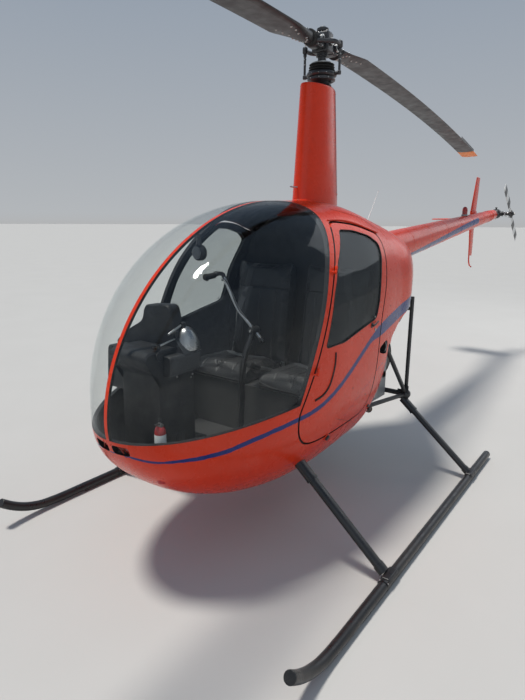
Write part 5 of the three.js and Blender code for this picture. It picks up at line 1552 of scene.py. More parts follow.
def silencer():
    y, z = bay["mufflerY"], bay["mufflerZ"]
    profile = [(0, -262), (30, -262), (56, -256), (63, -246), (66, -243), (66, -239), (63, -236), (63, -90), (65, -88),
               (65, -80), (63, -78), (63, 78), (65, 80), (65, 88), (63, 90), (63, 236), (66, 239), (66, 243), (63, 246),
               (56, 256), (30, 262), (0, 262)]
    drum = lathe(profile, (0, y, z), "x", 44)
    parts, flanges = [drum], []
    for side, bank in ((1, bay["port"]), (-1, bay["starboard"])):
        for cy in bank:
            x, top = side * 252, bay["crankZ"] - 66
            parts.append(pipe([(x, cy, top), (x, cy, top - 50), (x * 0.94, y + (cy - y) * 0.7, 500),
                               (x * 0.88, y + (cy - y) * 0.5, z + 20)], 19, 30, 20))
            flanges.append(pillow((x - 29, cy - 20, top - 9), (x + 29, cy + 20, top), 4))
            flanges += [rod((x + d, cy, top - 18), (x + d, cy, top + 2), 5, 6) for d in (-21, 21)]
    tail = pipe([(168, 205, 402), (180, 290, 386), (190, 355, 370), (194, 410, 352), (196, 470, 328)], 26, 40, 28)
    lip = lathe([(22, 0), (27.5, 0), (27.5, 10), (22, 10), (22, 0)], sides=28)
    way = unit(np.array([2.0, 60, -24]))
    across = unit(np.cross((1.0, 0, 0), way))
    turned = np.stack([np.cross(across, way), across, way], -1)
    lip = moved(lip, (196, 470, 328), turned)
    hollow = moved(lathe([(0, 9.5), (22, 9.5), (22, 4), (0, 4)], sides=28), (196, 470, 328), turned)
    straps = [lathe([(66, -8), (68, -8), (68, 8), (66, 8), (66, -8)], (x, y, z), "x", 40) for x in (-160, 160)]
    hangers = [rod((x, y, z + 64), (x * 0.8, y + 20, 500), 7, 12) for x in (-160, 160)]
    return parts + [tail, lip, hollow], flanges + straps + hangers


drums, brackets = silencer()
makePiece("muffler", [(exhaust, drums[:-1]), (rubber, drums[-1]), (frameBlack, brackets)],
          stands="muffler", sharp=40)


def bayTubes():
    # welded tube frame: round tubes, a bead at each joint, gussets at the lower corner and lugs for the legs
    x, y, z = corner["x"], corner["y"], corner["z"]
    parts, lugs = [], []
    for s in (1, -1):
        lines = [((s * x, y, z), (s * (x + 5), y - 14.5, deckUnder(y - 14.5)), 13),
                 ((s * x, y, z), (s * 448, 12, 1008), 14), ((s * x, y, z), (s * 358, -68, 511), 14),
                 ((s * 374, -50, 514), (s * 378, -50, 925), 12)]
        for start, end, radius in lines:
            parts.append(rod(start, end, radius, 24))
        parts.append(lathe([(33.5 * math.sin(t), -33.5 * math.cos(t)) for t in np.linspace(0.001, math.pi - 0.001, 14)],
                           (s * x, y, z), sides=28))
        lugs.append(pillow((s * x - 26, y - 24, z + 10), (s * x + 26, y - 18, z + 66), 2))
        lugs.append(pillow((s * x - 60, y - 4, z - 40), (s * x + 20, y + 4, z + 28), 3))
        lugs.append(rod((s * x, y - 42, z), (s * x, y + 42, z), 12, 6))
        lugs.append(pillow((s * 378 - 34, -62, 500), (s * 378 + 20, -56, 560), 3))
    parts.append(rod((-x, y, z), (x, y, z), 17, 28))
    parts.append(rod((-x - 2, y - 12, 1090), (x + 2, y - 12, 1090), 12, 24))
    return parts, lugs


def deckUnder(y):
    line = np.array(lines["cowlFoot"], float)
    return float(np.interp(y, line[:, 0], line[:, 1])) - 6


tubes, lugs = bayTubes()
makePiece("bayFrame", [(frameBlack, tubes + lugs)], stands="bay_frame")


def hoses():
    # oil and fuel lines in the bay, with their end fittings
    runs = [([(70, 60, 640), (150, 20, 620), (250, -20, 640), (330, -60, 700)], 8.5),
            ([(-70, 60, 640), (-150, 20, 600), (-240, -30, 600), (-320, -66, 640)], 8.5),
            ([(40, -60, 560), (120, -58, 590), (200, -62, 680), (250, -68, 780)], 6.5),
            ([(-40, 380, 800), (-90, 380, 860), (-150, 330, 950), (-200, 280, 1050)], 7.0)]
    body = [pipe(points, radius, 40, 14) for points, radius in runs]
    ends = [rod(np.array(points[0], float), np.array(points[0], float) + unit(np.subtract(points[1], points[0])) * 26,
                radius + 4, 6) for points, radius in runs]
    return body, ends


lineBody, lineEnds = hoses()
makePiece("bayHoses", [(rubber, lineBody), (boltSteel, lineEnds)])


def firewallDetail():
    # stiffening beads and rivets on the aft face of the bulkhead
    face = -71.5
    beads = [pillow((x - 7, face - 4, 560), (x + 7, face + 3, 900), 3) for x in (-300, -180, 180, 300)]
    beads += [pillow((-320, face - 4, z - 6), (320, face + 3, z + 6), 3) for z in (600, 880)]
    grid = [(x, face + 0.2, z) for x in np.arange(-360, 361, 40) for z in (530, 920)]
    return beads, domes(grid, np.tile((0, 1.0, 0), (len(grid), 1)), 3.2, 0.4, 6)


beads, studs = firewallDetail()
makePiece("bulkheadBeads", [(greyPaint, beads), (boltSteel, studs)])
print("engine bay made")

# cabin: carpets, soft seats with harness, console, controls, bottle and compass
cabin = dict(seatTop=745, floorTop=460.4, cushion=(32, 492), back=(36, 480), channel=0.0045,
             swell=0.024, pressure=4.0, voxel=0.0055, pipe=3.2)


def keepNode(node, material):
    # a solid whose shape is right stays and takes a finish
    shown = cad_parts[node]
    shown.data.materials.clear()
    shown.data.materials.append(material)


for node, material in (("cabin_floor", carpet), ("seat_base", carpet), ("bulkhead", trim), ("deck_plate", alloy),
                       ("main_gearbox", castAlloy)):
    keepNode(node, material)


def puffed(name, part, keepFlat):
    # cloth recipe: remesh the pad, let a little pressure swell it for 20 frames, cap how far each point may go,
    # and smooth it with one subdivision; keepFlat lowers the movement where the pad rests on its seat
    scene = bpy.context.scene
    base = plainMesh(name + "Start", part)
    remesh = base.modifiers.new("remesh", "REMESH")
    remesh.mode, remesh.voxel_size = "VOXEL", cabin["voxel"]
    mesh = evaluatedMesh(base)
    pad = bpy.data.objects.new(name + "Pad", mesh)
    scene.collection.objects.link(pad)
    start = meshPoints(mesh)
    cloth = pad.modifiers.new("cloth", "CLOTH")
    cloth.settings.use_pressure = True
    cloth.settings.uniform_pressure_force = cabin["pressure"]
    cloth.settings.effector_weights.gravity = 0
    cloth.settings.quality = 4
    cloth.point_cache.frame_end = 20
    for step in range(1, 21):
        scene.frame_set(step)
    done = bpy.data.meshes.new_from_object(pad.evaluated_get(bpy.context.evaluated_depsgraph_get()))
    go = meshPoints(done) - start
    bpy.data.meshes.remove(done)
    scene.frame_set(1)
    pad.modifiers.clear()
    far = np.linalg.norm(go, axis=1, keepdims=True)
    go *= np.minimum(1, cabin["swell"] / np.maximum(far, 1e-9)) * keepFlat(setBack(start))[:, None]
    mesh.vertices.foreach_set("co", (start + go).astype(np.float32).ravel())
    smooth = pad.modifiers.new("smooth", "SUBSURF")
    smooth.levels = smooth.render_levels = 1
    final = evaluatedMesh(pad)
    dropObjects((base, pad))
    return final


def pressLines(mesh, depthAt):
    # sewn channels: points sink along their normals by a depth worked out from their place
    points = meshPoints(mesh)
    normal = np.zeros(len(mesh.vertices) * 3, np.float32)
    mesh.vertex_normals.foreach_get("vector", normal)
    normal = normal.reshape(-1, 3)
    points -= normal * depthAt(setBack(points), normal)[:, None]
    mesh.vertices.foreach_set("co", points.astype(np.float32).ravel())


def onMesh(mesh, line, lift):
    # a line laid on a mesh: each point goes to the nearest face and up its normal
    tree = BVHTree.FromPolygons([tuple(v) for v in meshPoints(mesh)], [tuple(p.vertices) for p in mesh.polygons])
    out, ups = [], []
    for point in setOut(line):
        place, normal = tree.find_nearest(Vector(point))[:2]
        out.append(place)
        ups.append(normal)
    out = setBack(np.array(out))
    ups = np.array(ups)
    return out + ups * lift, ups


def ribbon(line, ups, width, thick):
    # flat strap: at each point across = up x run, four edges and a closed end
    run = unit(np.gradient(line, axis=0))
    up = unit(ups - run * np.sum(ups * run, axis=1, keepdims=True))
    across = np.cross(up, run)
    rings = np.stack([line - across * width / 2, line - across * (width / 2 - 1) + up * thick,
                      line + across * (width / 2 - 1) + up * thick, line + across * width / 2,
                      line + across * (width / 2 - 1) - up * 0.2, line - across * (width / 2 - 1) - up * 0.2], 1)
    return tubeOf(rings)


near, far = cabin["cushion"]
foot = cabin["seatTop"] + 0.6
padLine = softened([(-672, foot), (-318, foot), (-316, 796), (-352, 806), (-632, 820), (-676, 800)], 22, 5)
cushionStart = plate(padLine, far - near - 22, "x", (near + far) / 2, 14)
cushion = puffed("cushion", cushionStart, lambda p: np.clip((p[:, 2] - 762) / 40, 0, 1))
backLine = softened([(-276, 770), (-262, 756), (-234, 756), (-138, 1180), (-138, 1328), (-156, 1400), (-182, 1402),
                     (-204, 1326)], 30, 5)
backStart = plate(backLine, 420, "x", 258, 12)
backRest = puffed("back", backStart, lambda p: np.clip((-150 - p[:, 1] + (p[:, 2] - 1180) * 0.2) / 60, 0, 1) * 0.9)


def cushionChannels(p, normal):
    # three channels fore and aft, one across, only on the crown
    x = np.abs(p[:, 0])
    crown = np.clip((normal[:, 2] - 0.5) * 3, 0, 1)
    channels = sum(np.exp(-((x - at) / 4.5) ** 2) for at in (148, 262, 376)) + np.exp(-((p[:, 1] + 590) / 4.5) ** 2)
    return cabin["channel"] * np.minimum(channels, 1) * crown


def backChannels(p, normal):
    x = np.abs(p[:, 0])
    face = np.clip((-normal[:, 1] - 0.5) * 3, 0, 1)
    channels = sum(np.exp(-((x - at) / 4.5) ** 2) for at in (140, 258, 376)) * (p[:, 2] < 1235)
    channels += np.exp(-((p[:, 2] - 1240) / 4.5) ** 2)
    return cabin["channel"] * np.minimum(channels, 1) * face


pressLines(cushion, cushionChannels)
pressLines(backRest, backChannels)


def welts(mesh, loop):
    # piping laid round a pad's edge
    line = onMesh(mesh, loop, 1.2)[0]
    line = (np.roll(line, 1, 0) + line * 2 + np.roll(line, -1, 0)) / 4
    return sweep(line, circle(cabin["pipe"], 8), closed=True)


def ringAround(x0, x1, line):
    # a loop over the top edges of a pad: out along one side line, back along the other
    line = np.asarray(line, float)
    a = np.c_[np.full(len(line), x0), line]
    b = np.c_[np.full(len(line), x1), line[::-1]]
    corners = np.vstack([a, b])
    return curveThrough(np.vstack([corners, corners[:1]]), 220)[:-1]


seatWelts = [welts(cushion, ringAround(46, 478, [(-330, 802), (-500, 816), (-630, 822), (-668, 806)])),
             welts(cushion, ringAround(46, 478, [(-330, 762), (-500, 762), (-630, 762), (-672, 764)]))]
backWelts = [welts(backRest,
                   ringAround(52, 464, [(-262, 800), (-246, 1000), (-216, 1200), (-200, 1330), (-186, 1396)]))]


def buckle(place, turn):
    plateBody = pillow((-24, -17, 0), (24, 17, 7), 2.5)
    flap = pillow((-17, -13, 6), (19, 13, 10), 2)
    return [moved(p, place, turn) for p in (plateBody, flap)]


def harness():
    # lap belt over the cushion, shoulder strap down the back rest, lap buckle and anchor tabs
    lapA = curveThrough([(470, -292, 790), (450, -330, 842), (360, -400, 850), (300, -430, 852), (262, -440, 852)], 40)
    lapB = curveThrough([(44, -292, 790), (60, -330, 842), (150, -400, 850), (220, -430, 852), (262, -440, 852)], 40)
    shoulder = curveThrough([(330, -150, 1412), (336, -196, 1390), (350, -214, 1300), (392, -226, 1160),
                             (440, -246, 980), (470, -270, 840), (472, -288, 790)], 70)
    straps = []
    for line, mesh, lift in ((lapA, cushion, 2.5), (lapB, cushion, 3.5), (shoulder, backRest, 2.5)):
        laid, ups = onMesh(mesh, line, lift)
        laid[1:-1] = (laid[:-2] + 2 * laid[1:-1] + laid[2:]) / 4
        straps.append(ribbon(laid, ups, 46, 1.6))
    middle, ups = onMesh(cushion, np.array([(262.0, -440, 852)]), 5)
    metal = buckle(middle[0], turnAbout((1, 0, 0), 4))
    metal += [pillow((456, -300, 752), (484, -286, 800), 3), pillow((30, -300, 752), (58, -286, 800), 3)]
    return straps, metal


straps, metal = harness()
cushion.materials.clear()
backRest.materials.clear()
for mesh in (cushion, backRest):
    mesh.materials.append(seatHide)
for side, label in ((1, "Left"), (-1, "Right")):
    node = label.lower()
    own = cushion if side > 0 else mirroredMesh(cushion, "cushionRight")
    pad = placePiece("seatCushion" + label, own, "airframe", "seat_cushion_" + node, None)
    own = backRest if side > 0 else mirroredMesh(backRest, "backRight")
    pad = placePiece("seatBack" + label, own, "airframe", "seat_back_" + node, None)
makePair("seatPiping", [(seatHide, seatWelts + backWelts)])
makePair("harness", [(webbing, straps), (boltSteel, metal)])
print("seats made")


def dial(x, z, radius, y=-1239.6, hand=40):
    # instrument facing aft: bezel ring, face, face marks, a hand and four screws, generic with no words
    bezel = lathe([(radius, 0), (radius + 5, 0), (radius + 5, 3), (radius + 2, 5), (radius - 1, 4), (radius - 2, 1),
                   (radius, 0)], (x, y, z), "y", 32)
    face = lathe([(0, 0.6), (radius - 1, 0.6), (radius - 1, 0), (0, 0)], (x, y, z), "y", 28)
    marks = []
    for k in range(10):
        turn = math.radians(-135 + 30 * k)
        one = pillow((-0.8, 0.7, radius * 0.72), (0.8, 1.4, radius * 0.92), 0.3, 2)
        marks.append(moved(one, (x, y, z), turnAbout((0, 1, 0), math.degrees(turn))))
    needle = moved(pillow((-1.1, 1.4, -radius * 0.18), (1.1, 2.2, radius * 0.7), 0.4, 2), (x, y, z),
                   turnAbout((0, 1, 0), hand))
    screws = domes([(x + s * (radius + 4), y + 3, z + t * (radius + 4)) for s in (-0.75, 0.75) for t in (-0.75, 0.75)],
                   [(0, 1.0, 0)] * 4, 2.2, 0.4, 6)
    return bezel, face, joined(marks + [needle]), screws


def shellFloor(x, y, inset=24):
    # height at which the shell, drawn in by an inset, has this half width: halving between belly and widest level
    width, roof, low, high = hullSection(float(y), inset)
    low, high = float(low), float(high)
    for _ in range(30):
        middle = (low + high) / 2
        low, high = (middle, high) if float(hullSide(y, middle, inset)) < x else (low, middle)
    return high


def console():
    # pedestal that widens into a lid and leans forward, its foot cut to the nose; wings across it and a head on top
    foot = [(y, max(460.4, shellFloor(116, y))) for y in np.linspace(-1461, -1250, 12)]
    sideLine = [(-1240, foot[-1][1]), (-1240, 1085), (-1350, 1112), (-1500, 1112), (-1528, 1088), (-1502, 1042),
                (-1461, 1008)]
    post = plate(np.vstack([softened(np.array(sideLine, float), 20, 5), foot[:-1]]), 236, "x", 0, 7)
    wings = plate(softened([(-268, 888), (-112, 888), (-108, 1000), (165, 1000), (168, 1088), (-248, 1088)], 20, 5),
                  184, "y", -1333, 6)
    head = plate(softened([(-284, 1070), (165, 1070), (168, 1088), (112, 1148), (97, 1226), (79, 1290), (-76, 1280),
                           (-100, 1205), (-192, 1156), (-284, 1092)], 24, 5), 64, "y", -1312, 6)
    trimPlate = plate(softened([(-92, 510), (92, 510), (92, 960), (-92, 960)], 12, 4), 3, "y", -1238.6, 0.8)
    return [post, wings, head], trimPlate


bodies, trimPlate = console()
dials, faces, marks, screws = [], [], [], []
for x, z, radius, hand in ((-38, 1236, 26, 30), (30, 1238, 26, -60), (-46, 1174, 27, 95), (32, 1172, 27, 140),
                           (-204, 1042, 26, 20), (-140, 1042, 26, -30), (-76, 1042, 26, 75), (-12, 1042, 26, 120),
                           (52, 1042, 26, -90), (116, 1042, 22, 0), (-240, 985, 13, 50), (-200, 985, 13, -20),
                           (-160, 985, 13, 10)):
    a, b, c, d = dial(x, z, radius, -1279.6 if z > 1100 else -1240.6, hand)
    dials.append(a)
    faces.append(b)
    marks.append(c)
    screws.append(d)
radio = [pillow((-70, -1240, z), (70, -1233, z + 44), 3) for z in (870, 820, 770)]
knobs = [lathe([(0, -1234), (9, -1234), (9, -1222), (7, -1219), (0, -1219)], (x, 0, z), "y", 20) for x in (-56, 56)
         for z in (892, 842, 792)]
switches = [rod((x, -1238, z), (x, -1222, z + 6), 2.4, 10) for x in range(-80, 81, 20) for z in (700, 660)]
dome = lathe([(0.1, 94), (10, 93), (24, 87), (38, 74), (50, 53), (58, 28), (62, 4), (62.5, 0), (62, -4), (40, -5),
              (0.1, -5)],
             (108, -1276, 1098), sides=48)
struts = [rod((116, -1446, 1132), (104, -1302, 1152), 4.2, 16), rod((104, -1376, 1171), (102, -1290, 1201), 5.6, 16)]
clips = [pillow((92, -1462, 1120), (122, -1436, 1142), 5), pillow((95, -1346, 1150), (118, -1326, 1180), 5),
         pillow((92, -1300, 1180), (114, -1276, 1212), 5)]
loop = pipe([(121, -1440, 1124), (124, -1452, 1112), (125, -1466, 1094), (124, -1456, 1078), (121, -1440, 1070)], 3.4,
            40, 10)
bow = np.linspace(-248, 165, 26)
hoodEdge = sweep(np.stack([bow, np.full(26, -1242.0), 1089 + 2 * np.cos(bow / 130)], -1), circle(4.0, 12))
placard = [pillow((118.5, y, z), (120.5, y + 44, z + 26), 0.8) for y, z in ((-1330, 880), (-1330, 836), (-1400, 760))]
vents = [pillow((117, -1440 + 14 * k, 640), (120.2, -1434 + 14 * k, 720), 1.2) for k in range(10)]
button = domes([(121, -1348, 980), (121, -1252, 972), (121, -1262, 958)], np.tile((1.0, 0, 0), (3, 1)), 5, 0.5)
makePiece("console", [(crackle, bodies), (greyPaint, trimPlate), (rubber, hoodEdge), (gearBlack, dials), (trim, faces),
                      (whiteSleeve, marks), (boltSteel, screws), (gearBlack, radio), (alloy, knobs),
                      (boltSteel, switches + struts), (spunAlloy, dome), (gearBlack, clips), (rubber, loop),
                      (trim, placard), (rubber, vents), (boltSteel, button)],
          stands="console", sharp=40)


def stick():
    # one stick between the seats; its arm tips up to starboard and carries a hooked grip
    post = [pipe([(0, -760, 476), (0, -748, 640), (0, -724, 930), (0, -700, 972), (0, -640, 1058)], 15.5, 50, 24)]
    boot = lathe([(0, 0), (46, 0), (48, 3), (40, 10), (44, 18), (34, 28), (37, 36), (27, 48), (29, 54), (18, 66),
                  (0, 66)],
                 (0, -759, 460.6), sides=32)
    pivot = rod((0, -668, 1058), (0, -612, 1058), 24, 28)
    pin = [rod((0, -676, 1058), (0, -604, 1058), 9, 6),
           lathe([(0, -612), (17, -612), (17, -608), (0, -608)], (0, 0, 1058), "y", 24)]
    arm = pipe([(58, -640, 1008), (0, -640, 1062), (-60, -640, 1116), (-98, -640, 1150), (-112, -640, 1166),
                (-167, -640, 1256), (-214, -640, 1338)], 9.6, 80, 20)
    socket = lathe([(0, 0), (14, 0), (15, 3), (15, 26), (13, 30), (0, 30)], sides=24)
    way = unit(np.array([-58.0, 0, 54]))
    socket = moved(socket, (64, -640, 1002.5), np.stack([np.cross((0, 1.0, 0), way), (0, 1.0, 0), way], -1))
    neck = pipe([(-213, -640, 1336), (-220, -641, 1352), (-227, -652, 1357), (-231, -690, 1352), (-236, -765, 1345)],
                11.5, 50, 20)
    way = unit(np.array([-8.0, -73, -6]))
    side = unit(np.cross(way, (0, 0, 1.0)))
    frameTurn = np.stack([side, np.cross(way, side), way], -1)
    rings = [(0, 0), (13, 0), (16, 3), (17, 12), (15.4, 22), (17.2, 33), (15.6, 44), (17, 55), (18.5, 66), (17, 74),
             (10, 78), (0, 79)]
    grip = moved(lathe(rings, sides=32), (-229, -700, 1350.4), frameTurn)
    trigger = moved(pillow((-6, 12, 50), (6, 22, 68), 3), (-229, -700, 1350.4), frameTurn)
    ring = [lathe([(11, 0), (14.5, 0), (14.5, 9), (11, 9), (11, 0)], (0, 0, 0), sides=28)]
    ring = moved(ring[0], (-214, -640, 1322),
                 np.stack([unit((0.835, 0, 0.55)), (0, 1.0, 0), unit((-0.55, 0, 0.835))], -1))
    wire = pipe([(14, -748, 660), (17, -728, 900), (20, -690, 1010), (8, -664, 1080), (-90, -654, 1160),
                 (-210, -654, 1340), (-230, -668, 1366), (-236, -700, 1368)], 2.6, 90, 8)
    return post, boot, pivot, pin, arm, socket, neck, grip, trigger, ring, wire


post, boot, pivot, pin, arm, socket, neck, grip, trigger, ring, wire = stick()
makePiece("cyclicStick", [(gearBlack, post), (rubber, boot), (headSteel, pivot), (boltSteel, pin), (alloy, arm),
                          (gearBlack, socket), (headSteel, neck), (rubber, grip), (gearBlack, trigger),
                          (boltSteel, ring), (rubber, wire)],
          stands="cyclic_stick")
lever = [lathe([(0, 0), (20, 0), (22, 3), (22, 22), (18, 26), (0, 26)], (-12, -400, 745.6), sides=28),
         pipe([(-12, -400, 762), (-12, -430, 778), (-12, -520, 812), (-12, -590, 836)], 9.5, 40, 20)]
way = unit(np.array([0, -95.0, 38]))
gripTurn = np.stack([(1.0, 0, 0), np.cross(way, (1.0, 0, 0)), way], -1)
lever.append(moved(lathe([(0, 0), (15, 0), (17, 3), (17, 14), (15.5, 22), (17, 31), (15.5, 40), (17, 49), (15.5, 58),
                          (17, 67), (17, 92), (18.5, 94), (18.5, 101), (15, 103), (0, 103)], sides=32),
                   (-12, -580, 832), gripTurn))
makePiece("collectiveLever", list(zip([castAlloy, alloy, rubber], lever)), stands="collective_lever")


def pedalSet():
    # an upright, a cross shaft and two arms with ribbed foot bars
    y, foot = -1190, cabin["floorTop"]
    parts = [rod((190, y, foot), (190, y, 560), 10, 24),
             lathe([(0, 0), (26, 0), (28, 3), (28, 6), (12, 9), (12, 16), (0, 16)], (190, y, foot), sides=28),
             rod((116, y, 560), (264, y, 560), 9, 24), rod((172, y, 560), (208, y, 560), 14, 24)]
    kinds = [alloy, castAlloy, alloy, castAlloy]
    for x in (118, 262):
        parts += [pipe([(x, y, 556), (x, y - 4, 600), (x, y - 18, 655)], 7.5, 30, 18),
                  lathe([(0, -11), (13, -11), (14, -9), (14, 9), (13, 11), (0, 11)], (x, y, 560), "x", 24)]
        ribs = [(13 + (k % 2) * 1.6, -30 + 6 * k) for k in range(11)]
        bar = [(0, -38), (11, -38), (14, -34)] + ribs + [(14, 34), (11, 38), (0, 38)]
        parts.append(lathe(bar, (x - 1, y - 20, 658), "x", 28))
        kinds += [alloy, castAlloy, rubber]
    return list(zip(kinds, parts))


makePair("pedals", pedalSet(), stands="pedals_")


def fireBottle():
    # enamelled bottle on the floor with a waist band, a valve, a handle and a gauge
    x, y, z = 151, -1486, 545
    tank = lathe([(0, 0), (21, 0), (23.6, 4), (24.5, 12), (24.5, 222), (24, 232), (22, 243), (18, 252), (12, 258),
                  (0, 260)], (x, y, z), sides=44)
    sleeve = lathe([(24.6, 30), (25.1, 31), (25.1, 222), (24.6, 223), (24, 106), (24.6, 30)], (x, y, z), sides=44)
    valve = lathe([(0, 252), (11, 252), (11, 264), (8, 266), (8, 272), (0, 272)], (x, y, z), sides=24)
    levers = [pillow((x - 8, y - 26, z + 266), (x + 8, y + 14, z + 271), 2.4),
              hoop((x, y + 4.0, z + 280), 10, circle(2.4, 10), 28)]
    gauge = lathe([(0, 0), (9, 0), (9, 5), (0, 6)], (x + 9, y, z + 262), "x", 20)
    band = [lathe([(25.2, h), (26.4, h), (26.4, h + 14), (25.2, h + 14), (25.2, h)], (x, y, z), sides=44)
            for h in (44, 150)]
    band += [pillow((118, y + 22, z + 20), (122, y + 50, z + 190), 1.6)]
    band += [pillow((119, y + 10, z + h), (142, y + 38, z + h + 14), 2) for h in (44, 150)]
    return [tank, sleeve, valve] + levers + [gauge] + band


bottleKinds = [bottleRed, whiteSleeve, boltSteel, gearBlack, gearBlack, boltSteel] + [gearBlack] * 5
makePiece("fireBottle", list(zip(bottleKinds, fireBottle())), stands="fire_bottle")
roofAt = float(hullSection(-1065.0)[1])
lens = moved(lathe([(0, -15), (30, -15), (35, -11), (37, -5), (37, 5), (35, 11), (30, 15), (0, 15)], (0, 0, 0), "y",
                   36), (0, -1065, roofAt - 108))
rim = lathe([(28, 12), (36, 12), (37, 15), (34, 17.5), (28, 17), (28, 12)], (0, -1065, roofAt - 108), "y", 36)
shaft = lathe([(0, -72), (14, -72), (12, -60), (9, -40), (12, -26), (17, -23), (0, -23)], (0, -1065, roofAt), sides=24)
card = lathe([(0, -18.5), (27, -18.5), (29, -17), (29, 17), (27, 18.5), (0, 18.5)], (0, -1065, roofAt - 108), "y", 32)
makePiece("compass", [(crackle, lens), (gearBlack, [rim, shaft]), (darkLens, card)], stands="compass")
print("cabin made")

# rotors, each set out in its own frame: the hub at the middle, the main blade along +Y, the tail blade along +Z
mainRotor = dict(hubZ=2630, parked=4, radius=3830, droop=215, power=2.0, gearboxTop=1330,
                 rows=[(168, 104, 60), (220, 118, 54), (268, 140, 42), (360, 183, 28), (560, 183, 22), (3830, 183, 22)])
tailRotor = dict(place=(175, 4370, 1762), parked=58, shaftFoot=-92,
                 rows=[(52, 40, 20), (100, 52, 18), (150, 102, 12), (533, 102, 10)])


def mainFrame(half):
    # turn and place of a main blade's frame; half is the front blade's
    return turnAbout((0, 0, 1), mainRotor["parked"] + 180 * half), np.array((0, 0, mainRotor["hubZ"]))


def tailFrame(half):
    return turnAbout((1, 0, 0), tailRotor["parked"] + 180 * half), np.array(tailRotor["place"])


def setIn(part, where):
    return moved(part, where[1], where[0])


def bladeDrop(reach):
    # a parked blade sags by droop * (reach / radius)^power
    return -mainRotor["droop"] * (np.asarray(reach, float) / mainRotor["radius"]) ** mainRotor["power"]


def rowAt(rows, reach):
    rows = np.array(rows, float)
    return np.interp(reach, rows[:, 0], rows[:, 1]), np.interp(reach, rows[:, 0], rows[:, 2])


def mainPlace(reach, lead, ring):
    return np.stack([lead + ring[:, 1], np.full(len(ring), reach), bladeDrop(reach) + ring[:, 0] - ring[:, 1] * 0.045],
                    -1)


def skinPoint(reach, share, side, out=0.0):
    # point on the main blade's upper (+1) or lower (-1) skin at a share of the chord
    chord, thick = rowAt(mainRotor["rows"], reach)
    bow = 0.2969 * math.sqrt(share) - 0.126 * share - 0.3516 * share ** 2 + 0.2843 * share ** 3 - 0.1015 * share ** 4
    c = share * chord
    return (c - 0.3 * chord, reach, float(bladeDrop(reach)) + side * (5 * thick * bow + out) - c * 0.045)


def mainBlade():
    reaches = np.r_[168, 176, 190, 210, 232, 262, 300, 336, 372, 410, 455, 505, 560, np.linspace(640, 3830, 42)]
    rows = []
    for reach in reaches:
        chord, thick = rowAt(mainRotor["rows"], reach)
        rows.append((reach, -0.3 * chord, chord, thick))
    body = tipped(rows, mainPlace, 5)
    bolts, normals = [], []
    for side in (1, -1):
        for turn in np.radians(np.arange(-78, 79, 26)):
            reach, across = 240 - 52 * math.cos(turn), 24 + 44 * math.sin(turn)
            chord = rowAt(mainRotor["rows"], reach)[0]
            bolts.append(skinPoint(reach, float(np.clip((across + 0.3 * chord) / chord, 0.04, 0.9)), side, 0.5))
            normals.append((0, 0, side))
        for reach, share in ((300, 0.25), (300, 0.62), (345, 0.2), (345, 0.66), (395, 0.2), (395, 0.7)):
            bolts.append(skinPoint(reach, share, side, 0.5))
            normals.append((0, 0, side))
    root = domes(bolts, normals, 6.5, 0.6, 8)
    edge = [skinPoint(reach, 0.985, 1, 0.4) for reach in np.linspace(2950, 3560, 24)]
    tab = sweep(np.array(edge) + (8, 0, 0), [(-13, -0.8), (13, -0.8), (13, 0.8), (-13, 0.8)])
    screws = domes([skinPoint(reach, share, side, 0.3) for reach in (3700, 3790) for share in (0.12, 0.3, 0.5, 0.7)
                    for side in (1, -1)],
                   [(0, 0, side) for reach in (3700, 3790) for share in (0.12, 0.3, 0.5, 0.7) for side in (1, -1)], 3.4,
                   0.35, 6)
    cap = []
    for reach in (3742, 3746):
        chord, thick = rowAt(mainRotor["rows"], reach)
        cap.append(mainPlace(reach, -0.3 * chord, foilRing(chord, thick) * (1.05, 1.0)))
    return body, root, tab, screws, tubeOf(np.array(cap))


for half, label in ((0, "Aft"), (1, "Front")):
    where = mainFrame(half)

    def alongMain(p, where=where):
        return np.abs(((p - where[1]) @ where[0])[:, 1])

    def acrossMain(p, where=where):
        own = (p - where[1]) @ where[0]
        chord = rowAt(mainRotor["rows"], own[:, 1])[0]
        return own[:, 0] / chord + 0.3

    bladeKinds = [bladeGrey, boltSteel, bladeGrey, bladeGrey, bladeGrey]
    makePiece("mainBlade" + label, [(kind, setIn(p, where)) for kind, p in zip(bladeKinds, mainBlade())], "main_rotor",
              "main_blade_" + label.lower(), 50, {"reach": alongMain, "chordShare": acrossMain})


def boltAcross(reach, y, z, radius):
    # through bolt across the head: shank, a bright washer and a six-sided nut at both ends
    parts, kinds = [rod((-reach + 8, y, z), (reach - 8, y, z), radius, 28)], [headSteel]
    for s in (-1, 1):
        parts.append(lathe([(radius * 0.62, -4), (radius * 1.02, -4), (radius * 1.02, 2), (radius * 0.95, 3),
                            (radius * 0.62, 3), (radius * 0.62, -4)],
                           (s * (reach - 8), y, z), "x", 28))
        parts.append(rod((s * (reach - 8), y, z), (s * reach, y, z), radius * 0.6, 6))
        parts.append(rod((s * (reach - 9), y, z), (s * (reach + 1), y, z), radius * 0.3, 14))
        kinds += [boltSteel, headSteel, headSteel]
    return parts, kinds


